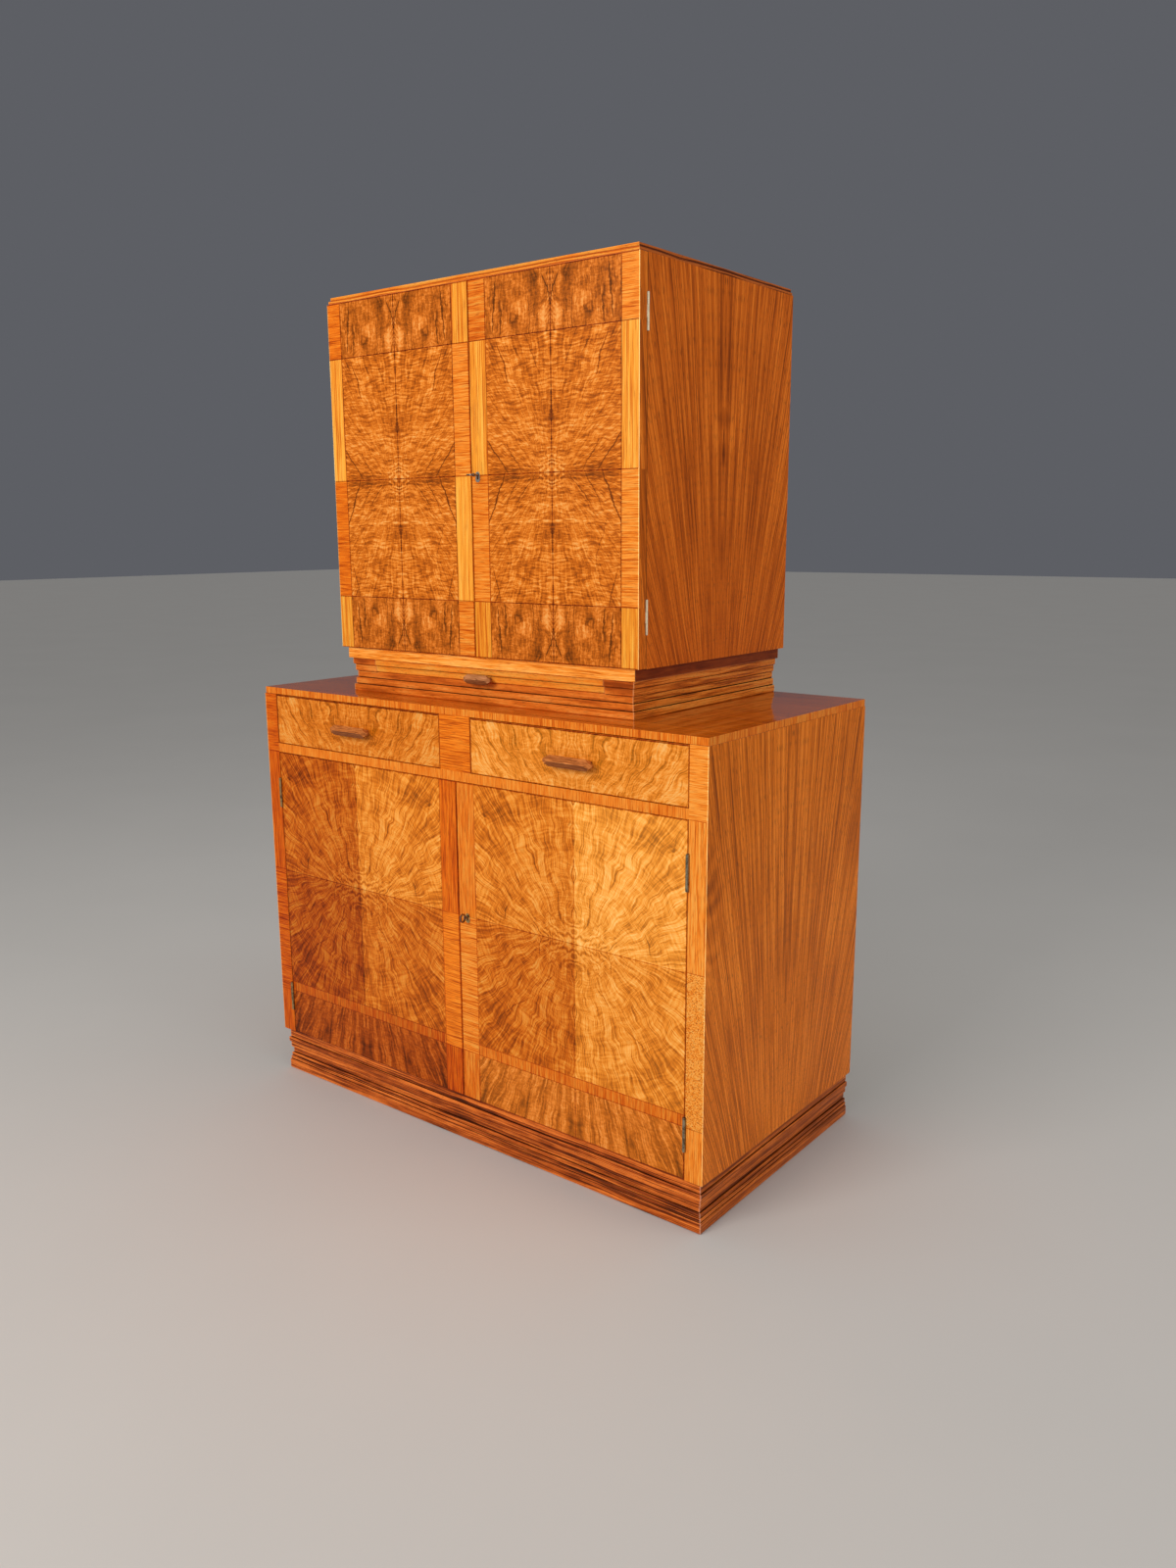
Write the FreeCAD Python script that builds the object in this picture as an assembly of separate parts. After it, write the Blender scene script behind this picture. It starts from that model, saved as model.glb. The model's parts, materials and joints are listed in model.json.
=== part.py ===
import FreeCAD, Part
import math
import os

# Walnut cocktail cabinet in millimetres: a small two-door cabinet stands on a wide
# cupboard with two drawers, with a reeded plinth and a pull-out slide between them.
# X runs to the right of someone facing the doors, Y to the back, Z up from the floor.
# The origin is on the floor, in the middle of the space that the whole object fills.

Vector = FreeCAD.Vector
across = Vector(1, 0, 0)
backwards = Vector(0, 1, 0)
upwards = Vector(0, 0, 1)

# Wide cupboard
lower_width = 1067.0
lower_depth = 537.0
cupboard_height = 610.0
drawer_rail_height = 17.5
drawer_opening_height = 100.5
lower_top_thick = 13.0
lower_top_inset = 1.2
lower_side_thick = 20.0
stile_width = 34.5
stile_depth = 22.0
drawer_stile_width = 74.0
drawer_rail_depth = 70.0
lower_bottom_thick = 18.0
back_thick = 6.0
edge_round = 0.8

# Base moulding, named from the top strip down to the foot
base_strip_height = 21.0
base_strip_inset = 8.0
base_bead_height = 11.0
base_bead_inset = 5.2
base_neck_height = 13.0
base_neck_inset = 8.0
base_waist_height = 12.0
base_waist_inset = 11.3
base_hip_height = 8.0
base_hip_inset = 8.3
base_step_height = 7.0
base_step_inset = 6.8
base_foot_height = 20.0
base_foot_inset = 5.4
base_thick = 26.0
base_back_thick = 18.0
reed_round = 1.6

# Small cabinet on top
upper_width = 718.0
upper_setback = 60.0
upper_height = 637.0
upper_side_thick = 18.0
upper_board_thick = 18.0
upper_door_thick = 20.5
upper_door_gap = 1.0

# Cap board with two steps
cornice_step_height = 5.5
cornice_step_inset = 2.2
cornice_cap_height = 6.5
cornice_cap_inset = 5.0
cornice_round = 1.6

# Frieze and reeded plinth, reeds named from the top down
frieze_height = 20.0
frieze_inset = 9.0
frieze_thick = 22.0
plinth_reed_height = 13.0
plinth_crown_inset = 14.5
plinth_neck_inset = 17.5
plinth_waist_inset = 20.5
plinth_hip_inset = 17.8
plinth_foot_inset = 15.0
plinth_back_inset = 40.0
plinth_back_thick = 18.0
plinth_front_set = 3.0
plinth_side_set = 2.3
plinth_reed_insets = [plinth_crown_inset, plinth_neck_inset, plinth_waist_inset,
                      plinth_hip_inset, plinth_foot_inset]

# Pull-out slide, as high as the two top reeds
slide_reed_count = 2
slide_end_margin = 80.5
slide_gap = 0.8
slide_board_inset = 6.5
slide_board_back_gap = 20.0
slide_board_thick = 14.0
slide_board_lift = 3.5
slide_runner_wall = 26.0
slide_groove_depth = 12.0
slide_runner_back_gap = 19.0
slide_play = 0.5

# Doors of the wide cupboard
lower_door_thick = 20.0
lower_door_gap = 1.2
meeting_gap = 1.6
door_stop_gap = 0.5

# Drawers
drawer_front_thick = 20.0
drawer_front_gap = 1.0
drawer_side_thick = 12.0
drawer_back_thick = 12.0
drawer_back_gap = 81.0
drawer_side_height = 84.0
drawer_box_play = 0.5
drawer_runner_play = 0.3
drawer_bottom_thick = 5.0
drawer_bottom_lift = 8.0
drawer_groove_depth = 5.0
drawer_front_groove = 7.0
dovetail_count = 3
dovetail_share = 0.6
dovetail_flare = 2.0
dovetail_front_depth = 14.0
runner_bearing = 30.0
runner_guide_height = 24.0

# Shelves
lower_shelf_height = 400.0
lower_shelf_thick = 18.0
shelf_setback = 34.0
shelf_side_play = 0.5
batten_height = 25.0
batten_width = 18.0
batten_front_inset = 60.0
batten_back_inset = 30.0
upper_shelf_height = 300.0
upper_shelf_thick = 15.0

# Handles: a ridged bar with pointed ends on a smaller foot
handle_length = 104.0
handle_height = 19.0
handle_depth = 9.5
handle_edge_depth = 3.5
handle_point = 13.0
handle_tip_height = 3.0
handle_foot_length = 84.0
handle_foot_height = 11.0
handle_foot_depth = 10.5
handle_drop = 3.0
slide_handle_length = 65.0
slide_handle_height = 17.0
slide_handle_depth = 8.0
slide_handle_edge_depth = 3.0
slide_handle_point = 10.0
slide_handle_tip_height = 3.5
slide_handle_foot_length = 48.0
slide_handle_foot_height = 8.0
slide_handle_foot_depth = 11.0
slide_handle_lift = 5.2

# Butt hinges
lower_hinge_length = 61.0
upper_hinge_length = 57.0
lower_hinge_rise = 82.0
lower_hinge_drop = 85.0
upper_hinge_rise = 84.0
upper_hinge_drop = 86.0
hinge_gap = 1.4
leaf_thick = 1.8
leaf_width = 17.0
lower_knuckle_radius = 2.7
upper_knuckle_radius = 1.8
lower_pin_radius = 1.2
upper_pin_radius = 0.8
hinge_pin_sides = 8
hinge_fit = 0.06
knuckle_count = 3
knuckle_play = 0.3
knuckle_clearance = 0.6
lower_axis_proud = 2.0
upper_axis_proud = 1.0

# Locks, keys and keyhole plates
lower_lock_height = 360.0
upper_lock_height = 317.0
lower_key_place = 22.0
upper_key_place = 15.6
lock_width = 42.0
lock_height = 56.0
lock_depth = 12.0
lock_wall = 1.2
lock_bolt_height = 16.0
lock_bolt_depth = 5.0
lock_bolt_head = 9.4
lock_bolt_rest = 0.6
lock_bolt_travel = 8.0
lock_bolt_fit = 0.15
lock_tail_height = 5.0
lock_tail_thick = 2.0
lock_tail_lift = 3.0
lock_tail_length = 24.0
bolt_pocket_play = 0.6
key_radius = 2.0
key_fit = 0.08
key_bit_reach = 6.5
key_bit_thick = 2.0
key_bit_depth = 3.0
key_bow_width = 17.0
key_bow_length = 13.0
key_bow_ring = 3.0
key_bow_thick = 2.2
key_bow_seat = 0.6
key_collar_radius = 3.0
key_collar_length = 2.0
key_end_play = 0.5
lower_key_reach = 20.0
upper_key_reach = 24.0
keyhole_play = 0.8
keyhole_slot_play = 0.5
plate_width = 10.0
plate_height = 18.0
plate_thick = 0.8

# Bolts in the meeting edges of the left doors
edge_bolt_width = 8.0
edge_bolt_thick = 4.0
edge_bolt_length = 90.0
edge_bolt_travel = 6.0
edge_bolt_fit = 0.1
edge_bolt_rest = 0.4
edge_bolt_grip_radius = 2.5
edge_bolt_grip_depth = 1.5
edge_bolt_grip_drop = 18.0
edge_bolt_back_wall = 6.0
edge_bolt_hole_play = 0.7

overrun = 1.0
same_place = 0.05
quarter_turn = 90

# Places that follow from the sizes
base_height = (base_strip_height + base_bead_height + base_neck_height + base_waist_height
               + base_hip_height + base_step_height + base_foot_height)
handle_reach = handle_depth + handle_foot_depth
front_reach = max(handle_reach, lower_key_reach)
back_face = (lower_depth + front_reach) / 2
lower_front = back_face - lower_depth
upper_front = lower_front + upper_setback
inner_back = back_face - back_thick
lower_half = lower_width / 2
upper_half = upper_width / 2
plinth_half = upper_half - plinth_side_set
plinth_front = upper_front - plinth_front_set
lower_inner = lower_half - lower_side_thick
door_opening = lower_half - stile_width
upper_inner = upper_half - upper_side_thick
drawer_box_depth = lower_depth - back_thick - drawer_front_thick - drawer_back_gap
slide_width = upper_width - 2 * slide_end_margin
slide_board_width = slide_width - 2 * slide_board_inset
slide_runner_start = plinth_front + plinth_back_inset
slide_runner_end = back_face - plinth_back_thick - slide_runner_back_gap
half_side_cosine = math.cos(math.pi / hinge_pin_sides)

rail_bottom = base_height + cupboard_height
rail_top = rail_bottom + drawer_rail_height
lower_top_bottom = rail_top + drawer_opening_height
worktop = lower_top_bottom + lower_top_thick
plinth_top = worktop + len(plinth_reed_insets) * plinth_reed_height
slide_bed = plinth_top - slide_reed_count * plinth_reed_height
upper_floor = plinth_top + frieze_height
upper_ceiling = upper_floor + upper_height
upper_carcase_front = upper_front + upper_door_thick + hinge_gap


def slab(x_start, x_end, y_start, y_end, z_start, z_end):
    corner = Vector(x_start, y_start, z_start)
    return Part.makeBox(x_end - x_start, y_end - y_start, z_end - z_start, corner)


def peg(radius, length, foot, direction):
    return Part.makeCylinder(radius, length, foot, direction)


def prism(points, travel):
    closed = points + [points[0]]
    return Part.Face(Part.makePolygon(closed)).extrude(travel)


def mirrored(shape):
    return shape.mirror(Vector(0, 0, 0), across)


def rounded(shape, radius, chooses_edge):
    edges = [edge for edge in shape.Edges if chooses_edge(edge)]
    return shape.makeFillet(radius, edges)


def lies_on_front(y_place):
    def chooses(edge):
        box = edge.BoundBox
        return abs(box.YMin - y_place) < same_place and abs(box.YMax - y_place) < same_place
    return chooses


# Outline of stacked reeds in a plane: inset grows inwards, reeds run from the top down.
# Each reed has a round upper lip and a bevelled lower lip, so a fine groove lies between
# two reeds.
def reed_outline(reeds, top, back_inset, to_point):
    edges = []
    level = top
    last = to_point(back_inset, top)
    corner_share = 1 - 0.5 ** 0.5
    for inset, height in reeds:
        low = level - height
        shoulder = to_point(inset + reed_round, level)
        if last.distanceToPoint(shoulder) > same_place:
            edges.append(Part.makeLine(last, shoulder))
        upper_middle = to_point(inset + corner_share * reed_round, level - corner_share * reed_round)
        upper_end = to_point(inset, level - reed_round)
        edges.append(Part.Arc(shoulder, upper_middle, upper_end).toShape())
        lower_end = to_point(inset, low + reed_round)
        edges.append(Part.makeLine(upper_end, lower_end))
        last = to_point(inset + reed_round, low)
        edges.append(Part.makeLine(lower_end, last))
        level = low
    foot = to_point(back_inset, level)
    edges.append(Part.makeLine(last, foot))
    edges.append(Part.makeLine(foot, to_point(back_inset, top)))
    return Part.Face(Part.Wire(edges))


def front_moulding(reeds, top, back_inset, half_width, front):
    def to_point(inset, level):
        return Vector(-half_width, front + inset, level)
    run = reed_outline(reeds, top, back_inset, to_point).extrude(across * (2 * half_width))
    plan = [Vector(-half_width, front, 0), Vector(half_width, front, 0),
            Vector(half_width - back_inset, front + back_inset, 0),
            Vector(back_inset - half_width, front + back_inset, 0)]
    return run.common(prism(plan, upwards * top))


def right_moulding(reeds, top, back_inset, half_width, front, back):
    def to_point(inset, level):
        return Vector(half_width - inset, front, level)
    run = reed_outline(reeds, top, back_inset, to_point).extrude(backwards * (back - front))
    plan = [Vector(half_width, front, 0), Vector(half_width, back, 0),
            Vector(half_width - back_inset, back, 0),
            Vector(half_width - back_inset, front + back_inset, 0)]
    return run.common(prism(plan, upwards * top))


def base_reeds():
    return [(base_strip_inset, base_strip_height), (base_bead_inset, base_bead_height),
            (base_neck_inset, base_neck_height), (base_waist_inset, base_waist_height),
            (base_hip_inset, base_hip_height), (base_step_inset, base_step_height),
            (base_foot_inset, base_foot_height)]


def plinth_reeds():
    return [(inset, plinth_reed_height) for inset in plinth_reed_insets]


# Base frame under the cupboard
def base_parts():
    back_inset = base_foot_inset + base_thick
    front = front_moulding(base_reeds(), base_height, back_inset, lower_half, lower_front)
    right = right_moulding(base_reeds(), base_height, back_inset, lower_half, lower_front,
                           back_face)
    inner = lower_half - back_inset
    back = slab(-inner, inner, back_face - base_back_thick, back_face, 0, base_height)
    return {"base_front": front, "base_left": mirrored(right), "base_right": right,
            "base_back": back}


# Cupboard panels
def lower_right_side():
    return slab(lower_inner, lower_half, lower_front + stile_depth, back_face,
                base_height, lower_top_bottom)


def lower_right_stile():
    post = slab(door_opening, lower_half, lower_front, lower_front + stile_depth,
                base_height, lower_top_bottom)
    return post.cut(lower_hinge_room(1))


def lower_bottom():
    front = lower_front + lower_door_thick + door_stop_gap
    middle = lower_front + stile_depth
    plan = [Vector(-door_opening, front, base_height), Vector(door_opening, front, base_height),
            Vector(door_opening, middle, base_height), Vector(lower_inner, middle, base_height),
            Vector(lower_inner, inner_back, base_height),
            Vector(-lower_inner, inner_back, base_height),
            Vector(-lower_inner, middle, base_height), Vector(-door_opening, middle, base_height)]
    return prism(plan, upwards * lower_bottom_thick)


def lower_top():
    half = lower_half - lower_top_inset
    board = slab(-half, half, lower_front + lower_top_inset, back_face, lower_top_bottom, worktop)
    return rounded(board, edge_round, lies_on_front(lower_front + lower_top_inset))


def lower_back():
    return slab(-lower_inner, lower_inner, inner_back, back_face, base_height, lower_top_bottom)


def drawer_rail():
    front = lower_front
    middle = lower_front + stile_depth
    rear = lower_front + drawer_rail_depth
    plan = [Vector(-door_opening, front, rail_bottom), Vector(door_opening, front, rail_bottom),
            Vector(door_opening, middle, rail_bottom), Vector(lower_inner, middle, rail_bottom),
            Vector(lower_inner, rear, rail_bottom), Vector(-lower_inner, rear, rail_bottom),
            Vector(-lower_inner, middle, rail_bottom), Vector(-door_opening, middle, rail_bottom)]
    board = prism(plan, upwards * drawer_rail_height)
    return board.cut(edge_bolt_hole(lower_front, lower_door_thick, rail_bottom))


def drawer_stile():
    half = drawer_stile_width / 2
    return slab(-half, half, lower_front, lower_front + stile_depth, rail_top, lower_top_bottom)


def drawer_runners():
    start = lower_front + drawer_rail_depth
    run = backwards * (inner_back - start)
    guide_top = rail_top + runner_guide_height
    half = drawer_stile_width / 2
    middle = [Vector(-half - runner_bearing, start, rail_bottom),
              Vector(half + runner_bearing, start, rail_bottom),
              Vector(half + runner_bearing, start, rail_top), Vector(half, start, rail_top),
              Vector(half, start, guide_top), Vector(-half, start, guide_top),
              Vector(-half, start, rail_top), Vector(-half - runner_bearing, start, rail_top)]
    inside = door_opening - runner_bearing
    right = [Vector(inside, start, rail_bottom), Vector(lower_inner, start, rail_bottom),
             Vector(lower_inner, start, guide_top), Vector(door_opening, start, guide_top),
             Vector(door_opening, start, rail_top), Vector(inside, start, rail_top)]
    right_runner = prism(right, run)
    return Part.makeCompound([prism(middle, run), right_runner, mirrored(right_runner)])


def lower_shelf():
    half = lower_inner - shelf_side_play
    front = lower_front + lower_door_thick + shelf_setback
    return slab(-half, half, front, inner_back, lower_shelf_height,
                lower_shelf_height + lower_shelf_thick)


# Two battens against the side panels, with their tops under a shelf
def battens(inner, front, top):
    right = slab(inner - batten_width, inner, front + batten_front_inset,
                 inner_back - batten_back_inset, top - batten_height, top)
    return Part.makeCompound([right, mirrored(right)])


# Ridged bar with pointed ends, seen from the front as a long hexagon
def handle(middle_x, front, middle_z, length, height, depth, edge_depth, point, tip_height,
           foot_length, foot_height, foot_depth):
    half = length / 2
    half_height = height / 2
    half_tip = tip_height / 2
    root = front - foot_depth
    shoulder = half - point
    outline = [Vector(-half, root, -half_tip), Vector(-shoulder, root, -half_height),
               Vector(shoulder, root, -half_height), Vector(half, root, -half_tip),
               Vector(half, root, half_tip), Vector(shoulder, root, half_height),
               Vector(-shoulder, root, half_height), Vector(-half, root, half_tip)]
    bar = prism(outline, backwards * -depth)
    ridge = [Vector(-half, root, -half_height), Vector(-half, root - edge_depth, -half_height),
             Vector(-half, root - depth, 0), Vector(-half, root - edge_depth, half_height),
             Vector(-half, root, half_height)]
    bar = bar.common(prism(ridge, across * length))
    taper = [Vector(-half, root, -half_height), Vector(-half, root - edge_depth, -half_height),
             Vector(-shoulder, root - depth, -half_height),
             Vector(shoulder, root - depth, -half_height),
             Vector(half, root - edge_depth, -half_height), Vector(half, root, -half_height)]
    bar = bar.common(prism(taper, upwards * height))
    foot = slab(-foot_length / 2, foot_length / 2, root, front, -foot_height / 2, foot_height / 2)
    place = Vector(middle_x, 0, middle_z)
    bar.translate(place)
    foot.translate(place)
    return Part.makeCompound([bar, foot])


# Tails on the end of a drawer side, each wider at its tip than at its root
def dovetails(x_start, x_end, root, tip, low, high):
    pitch = (high - low) / dovetail_count
    half_root = pitch * dovetail_share / 2
    half_tip = half_root + dovetail_flare
    tails = []
    for index in range(dovetail_count):
        middle = low + (2 * index + 1) * pitch / 2
        outline = [Vector(x_start, root, middle - half_root), Vector(x_start, tip, middle - half_tip),
                   Vector(x_start, tip, middle + half_tip), Vector(x_start, root, middle + half_root)]
        tails.append(prism(outline, across * (x_end - x_start)))
    return Part.makeCompound(tails)


# Drawer parts on the right of the middle
def drawer_parts():
    inner = drawer_stile_width / 2 + drawer_front_gap
    outer = door_opening - drawer_front_gap
    low = rail_top + drawer_front_gap
    high = lower_top_bottom - drawer_front_gap
    rear = lower_front + drawer_front_thick
    front = slab(inner, outer, lower_front, rear, low, high)
    front = rounded(front, edge_round, lies_on_front(lower_front))
    left_face = inner + drawer_box_play
    right_face = outer - drawer_box_play
    box_low = rail_top + drawer_runner_play
    box_high = box_low + drawer_side_height
    box_rear = rear + drawer_box_depth
    bottom_low = box_low + drawer_bottom_lift
    bottom_high = bottom_low + drawer_bottom_thick
    groove_left = left_face + drawer_side_thick - drawer_groove_depth
    groove_right = right_face - drawer_side_thick + drawer_groove_depth
    board = slab(groove_left, groove_right, rear - drawer_front_groove, box_rear,
                 bottom_low, bottom_high)
    back = slab(left_face, right_face, box_rear - drawer_back_thick, box_rear, bottom_high,
                box_high)
    sides = []
    for start in (left_face, right_face - drawer_side_thick):
        end = start + drawer_side_thick
        front_tails = dovetails(start, end, rear, rear - dovetail_front_depth, bottom_high, box_high)
        back_tails = dovetails(start, end, box_rear - drawer_back_thick, box_rear, bottom_high,
                               box_high)
        side = slab(start, end, rear, box_rear, box_low, box_high).cut(board).cut(back)
        sides.append(side.fuse(front_tails).fuse(back_tails).removeSplitter())
        front = front.cut(front_tails)
        back = back.cut(back_tails)
    box = Part.makeCompound(sides + [back])
    middle_x = (inner + outer) / 2
    middle_z = (low + high) / 2 - handle_drop
    pull = handle(middle_x, lower_front, middle_z, handle_length, handle_height, handle_depth,
                  handle_edge_depth, handle_point, handle_tip_height, handle_foot_length,
                  handle_foot_height, handle_foot_depth)
    return {"drawer_front": front.cut(board), "drawer_box": box, "drawer_bottom": board,
            "drawer_handle": pull}


# Cabinet panels
def upper_right_side():
    side = slab(upper_inner, upper_half, upper_carcase_front, back_face, upper_floor,
                upper_ceiling)
    return side.cut(upper_hinge_room(1))


def upper_board(bottom):
    return slab(-upper_inner, upper_inner, upper_carcase_front, inner_back, bottom,
                bottom + upper_board_thick)


def upper_back():
    return slab(-upper_inner, upper_inner, inner_back, back_face, upper_floor, upper_ceiling)


def upper_shelf():
    half = upper_inner - shelf_side_play
    level = upper_floor + upper_shelf_height
    return slab(-half, half, upper_carcase_front + shelf_setback, inner_back, level,
                level + upper_shelf_thick)


def cornice():
    half = upper_half - cornice_step_inset
    step_top = upper_ceiling + cornice_step_height
    step = slab(-half, half, upper_front + cornice_step_inset, back_face, upper_ceiling, step_top)
    step = rounded(step, cornice_round, top_lip(step_top))
    half = upper_half - cornice_cap_inset
    cap_top = step_top + cornice_cap_height
    cap = slab(-half, half, upper_front + cornice_cap_inset, back_face, step_top, cap_top)
    cap = rounded(cap, cornice_round, top_lip(cap_top))
    board = step.fuse(cap)
    return board.cut(edge_bolt_hole(upper_front, upper_door_thick, upper_ceiling))


def top_lip(level):
    def chooses(edge):
        box = edge.BoundBox
        flat = abs(box.ZMin - level) < same_place and abs(box.ZMax - level) < same_place
        return flat and box.YMin < back_face - same_place
    return chooses


# Frieze and plinth
def frieze_parts():
    back_inset = frieze_inset + frieze_thick
    front = plinth_front
    plan_front = [Vector(-plinth_half, front, plinth_top), Vector(plinth_half, front, plinth_top),
                  Vector(plinth_half - back_inset, front + back_inset, plinth_top),
                  Vector(back_inset - plinth_half, front + back_inset, plinth_top)]
    half = plinth_half - frieze_inset
    band = slab(-half, half, front + frieze_inset, front + back_inset, plinth_top, upper_floor)
    plan_right = [Vector(half, front + frieze_inset, plinth_top), Vector(half, back_face, plinth_top),
                  Vector(plinth_half - back_inset, back_face, plinth_top),
                  Vector(plinth_half - back_inset, front + back_inset, plinth_top)]
    right = prism(plan_right, upwards * frieze_height)
    return {"frieze_front": band.common(prism(plan_front, upwards * frieze_height)),
            "frieze_left": mirrored(right), "frieze_right": right}


def plinth_parts():
    front = front_moulding(plinth_reeds(), plinth_top, plinth_back_inset, plinth_half, plinth_front)
    front = front.common(slab(-plinth_half, plinth_half, plinth_front, back_face, worktop,
                              plinth_top))
    half_slot = slide_width / 2 + slide_gap
    slot = slab(-half_slot, half_slot, plinth_front, plinth_front + plinth_back_inset + overrun,
                slide_bed, plinth_top + overrun)
    right = right_moulding(plinth_reeds(), plinth_top, plinth_back_inset, plinth_half, plinth_front,
                           back_face)
    inner = plinth_half - plinth_back_inset
    back = slab(-inner, inner, back_face - plinth_back_thick, back_face, worktop, upper_floor)
    side_inner = plinth_half - frieze_inset - frieze_thick
    back = back.cut(slab(side_inner, plinth_half, inner_back - plinth_back_thick,
                         back_face + overrun, plinth_top, upper_floor + overrun))
    return {"plinth_front": front.cut(slot), "plinth_left": mirrored(right),
            "plinth_right": right, "plinth_back": back}


# Slide: a board in grooved runners behind a strip with the two top reeds
def slide_parts():
    half = slide_width / 2
    low = slide_bed + slide_gap

    def to_point(inset, level):
        return Vector(-half, plinth_front + inset, level)
    reeds = [(inset, plinth_reed_height - slide_gap)
             for inset in plinth_reed_insets[:slide_reed_count]]
    strip = reed_outline(reeds, plinth_top - slide_gap, plinth_back_inset, to_point)
    strip = strip.extrude(across * slide_width)
    board_low = low + slide_board_lift
    board_high = board_low + slide_board_thick
    board_half = slide_board_width / 2
    board = slab(-board_half, board_half, slide_runner_start,
                 slide_runner_end - slide_board_back_gap, board_low, board_high)
    groove_wall = board_half + slide_play
    inner = groove_wall - slide_groove_depth
    outer = inner + slide_runner_wall
    runner = slab(inner, outer, slide_runner_start, slide_runner_end, worktop, plinth_top)
    groove = slab(inner - overrun, groove_wall, slide_runner_start - overrun,
                  slide_runner_end + overrun,
                  board_low - drawer_runner_play, board_high + slide_play)
    runner = runner.cut(groove)
    grip_z = low + slide_handle_lift
    pull = handle(0, plinth_front + plinth_neck_inset, grip_z, slide_handle_length,
                  slide_handle_height, slide_handle_depth, slide_handle_edge_depth,
                  slide_handle_point, slide_handle_tip_height, slide_handle_foot_length,
                  slide_handle_foot_height, slide_handle_foot_depth)
    return {"slide_front": strip, "slide_board": board, "slide_handle": pull,
            "slide_runners": Part.makeCompound([runner, mirrored(runner)])}


# Butt hinge about the Z axis, with its leaves running along Y, the carcase leaf on +X
def hinge_leaf(side, length, own_knuckles, bore, knuckle_radius, pin_radius):
    inner = hinge_gap / 2
    first = inner if side > 0 else -inner - leaf_thick
    collar = knuckle_radius + knuckle_clearance
    leaf = slab(first, first + leaf_thick, collar, leaf_width, 0, length)
    pitch = length / knuckle_count
    for index in own_knuckles:
        low = index * pitch + knuckle_play / 2
        tall = pitch - knuckle_play
        leaf = leaf.fuse(slab(first, first + leaf_thick, 0, collar, low, low + tall))
        leaf = leaf.fuse(peg(knuckle_radius, tall, Vector(0, 0, low), upwards))
    if bore:
        leaf = leaf.cut(hinge_pin((pin_radius + hinge_fit) / half_side_cosine, length))
    else:
        pin = hinge_pin(pin_radius, length - knuckle_play)
        pin.translate(upwards * (knuckle_play / 2))
        leaf = leaf.fuse(pin)
    return leaf.removeSplitter()


# Pins and their bores have flat sides, which keeps the facets of eight hinges few
def hinge_pin(corner_radius, length):
    turns = [2 * math.pi * index / hinge_pin_sides for index in range(hinge_pin_sides)]
    ring = [Vector(corner_radius * math.cos(turn), corner_radius * math.sin(turn), 0)
            for turn in turns]
    return prism(ring, upwards * length)


def hinge_room(side, length, knuckle_radius):
    inner = hinge_gap / 2
    first = 0 if side > 0 else -inner - leaf_thick
    last = inner + leaf_thick if side > 0 else 0
    room = slab(first, last, 0, leaf_width, 0, length)
    collar = knuckle_radius + knuckle_clearance
    return room.fuse(peg(collar, length + 2 * knuckle_play, Vector(0, 0, -knuckle_play), upwards))


def lower_hinge_axis():
    return Vector(door_opening - hinge_gap / 2, lower_front - lower_axis_proud, 0)


def upper_hinge_axis():
    return Vector(upper_half + upper_axis_proud, upper_front + upper_door_thick + hinge_gap / 2, 0)


def lower_hinge_feet():
    axis = lower_hinge_axis()
    middles = (base_height + lower_hinge_rise, rail_bottom - lower_hinge_drop)
    return [axis + upwards * (middle - lower_hinge_length / 2) for middle in middles]


def upper_hinge_feet():
    axis = upper_hinge_axis()
    middles = (upper_floor + upper_hinge_rise, upper_ceiling - upper_hinge_drop)
    return [axis + upwards * (middle - upper_hinge_length / 2) for middle in middles]


def placed(shape, foot, turn):
    copy = shape.copy()
    copy.rotate(Vector(0, 0, 0), upwards, turn)
    copy.translate(foot)
    return copy


def lower_hinge_room(side):
    room = hinge_room(side, lower_hinge_length, lower_knuckle_radius)
    return Part.makeCompound([placed(room, foot, 0) for foot in lower_hinge_feet()])


def upper_hinge_room(side):
    room = hinge_room(side, upper_hinge_length, upper_knuckle_radius)
    return Part.makeCompound([placed(room, foot, quarter_turn) for foot in upper_hinge_feet()])


def lower_leaves(side):
    own = range(0, knuckle_count, 2) if side > 0 else range(1, knuckle_count, 2)
    leaf = hinge_leaf(side, lower_hinge_length, own, side < 0, lower_knuckle_radius,
                      lower_pin_radius)
    return [placed(leaf, foot, 0) for foot in lower_hinge_feet()]


def upper_leaves(side):
    own = range(0, knuckle_count, 2) if side > 0 else range(1, knuckle_count, 2)
    leaf = hinge_leaf(side, upper_hinge_length, own, side < 0, upper_knuckle_radius,
                      upper_pin_radius)
    return [placed(leaf, foot, quarter_turn) for foot in upper_hinge_feet()]


def hinge_frame_leaves():
    right = lower_leaves(1) + upper_leaves(1)
    return Part.makeCompound(right + [mirrored(leaf) for leaf in right])


# Doors on the right of the middle, before their locks
def plain_lower_door():
    inner = meeting_gap / 2
    outer = door_opening - hinge_gap
    door = slab(inner, outer, lower_front, lower_front + lower_door_thick,
                base_height + lower_door_gap, rail_bottom - lower_door_gap)
    door = rounded(door, edge_round, lies_on_front(lower_front))
    return door.cut(lower_hinge_room(-1))


def plain_upper_door():
    door = slab(meeting_gap / 2, upper_half, upper_front, upper_front + upper_door_thick,
                upper_floor + upper_door_gap, upper_ceiling - upper_door_gap)
    door = rounded(door, edge_round, lies_on_front(upper_front))
    return door.cut(upper_hinge_room(-1))


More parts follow.
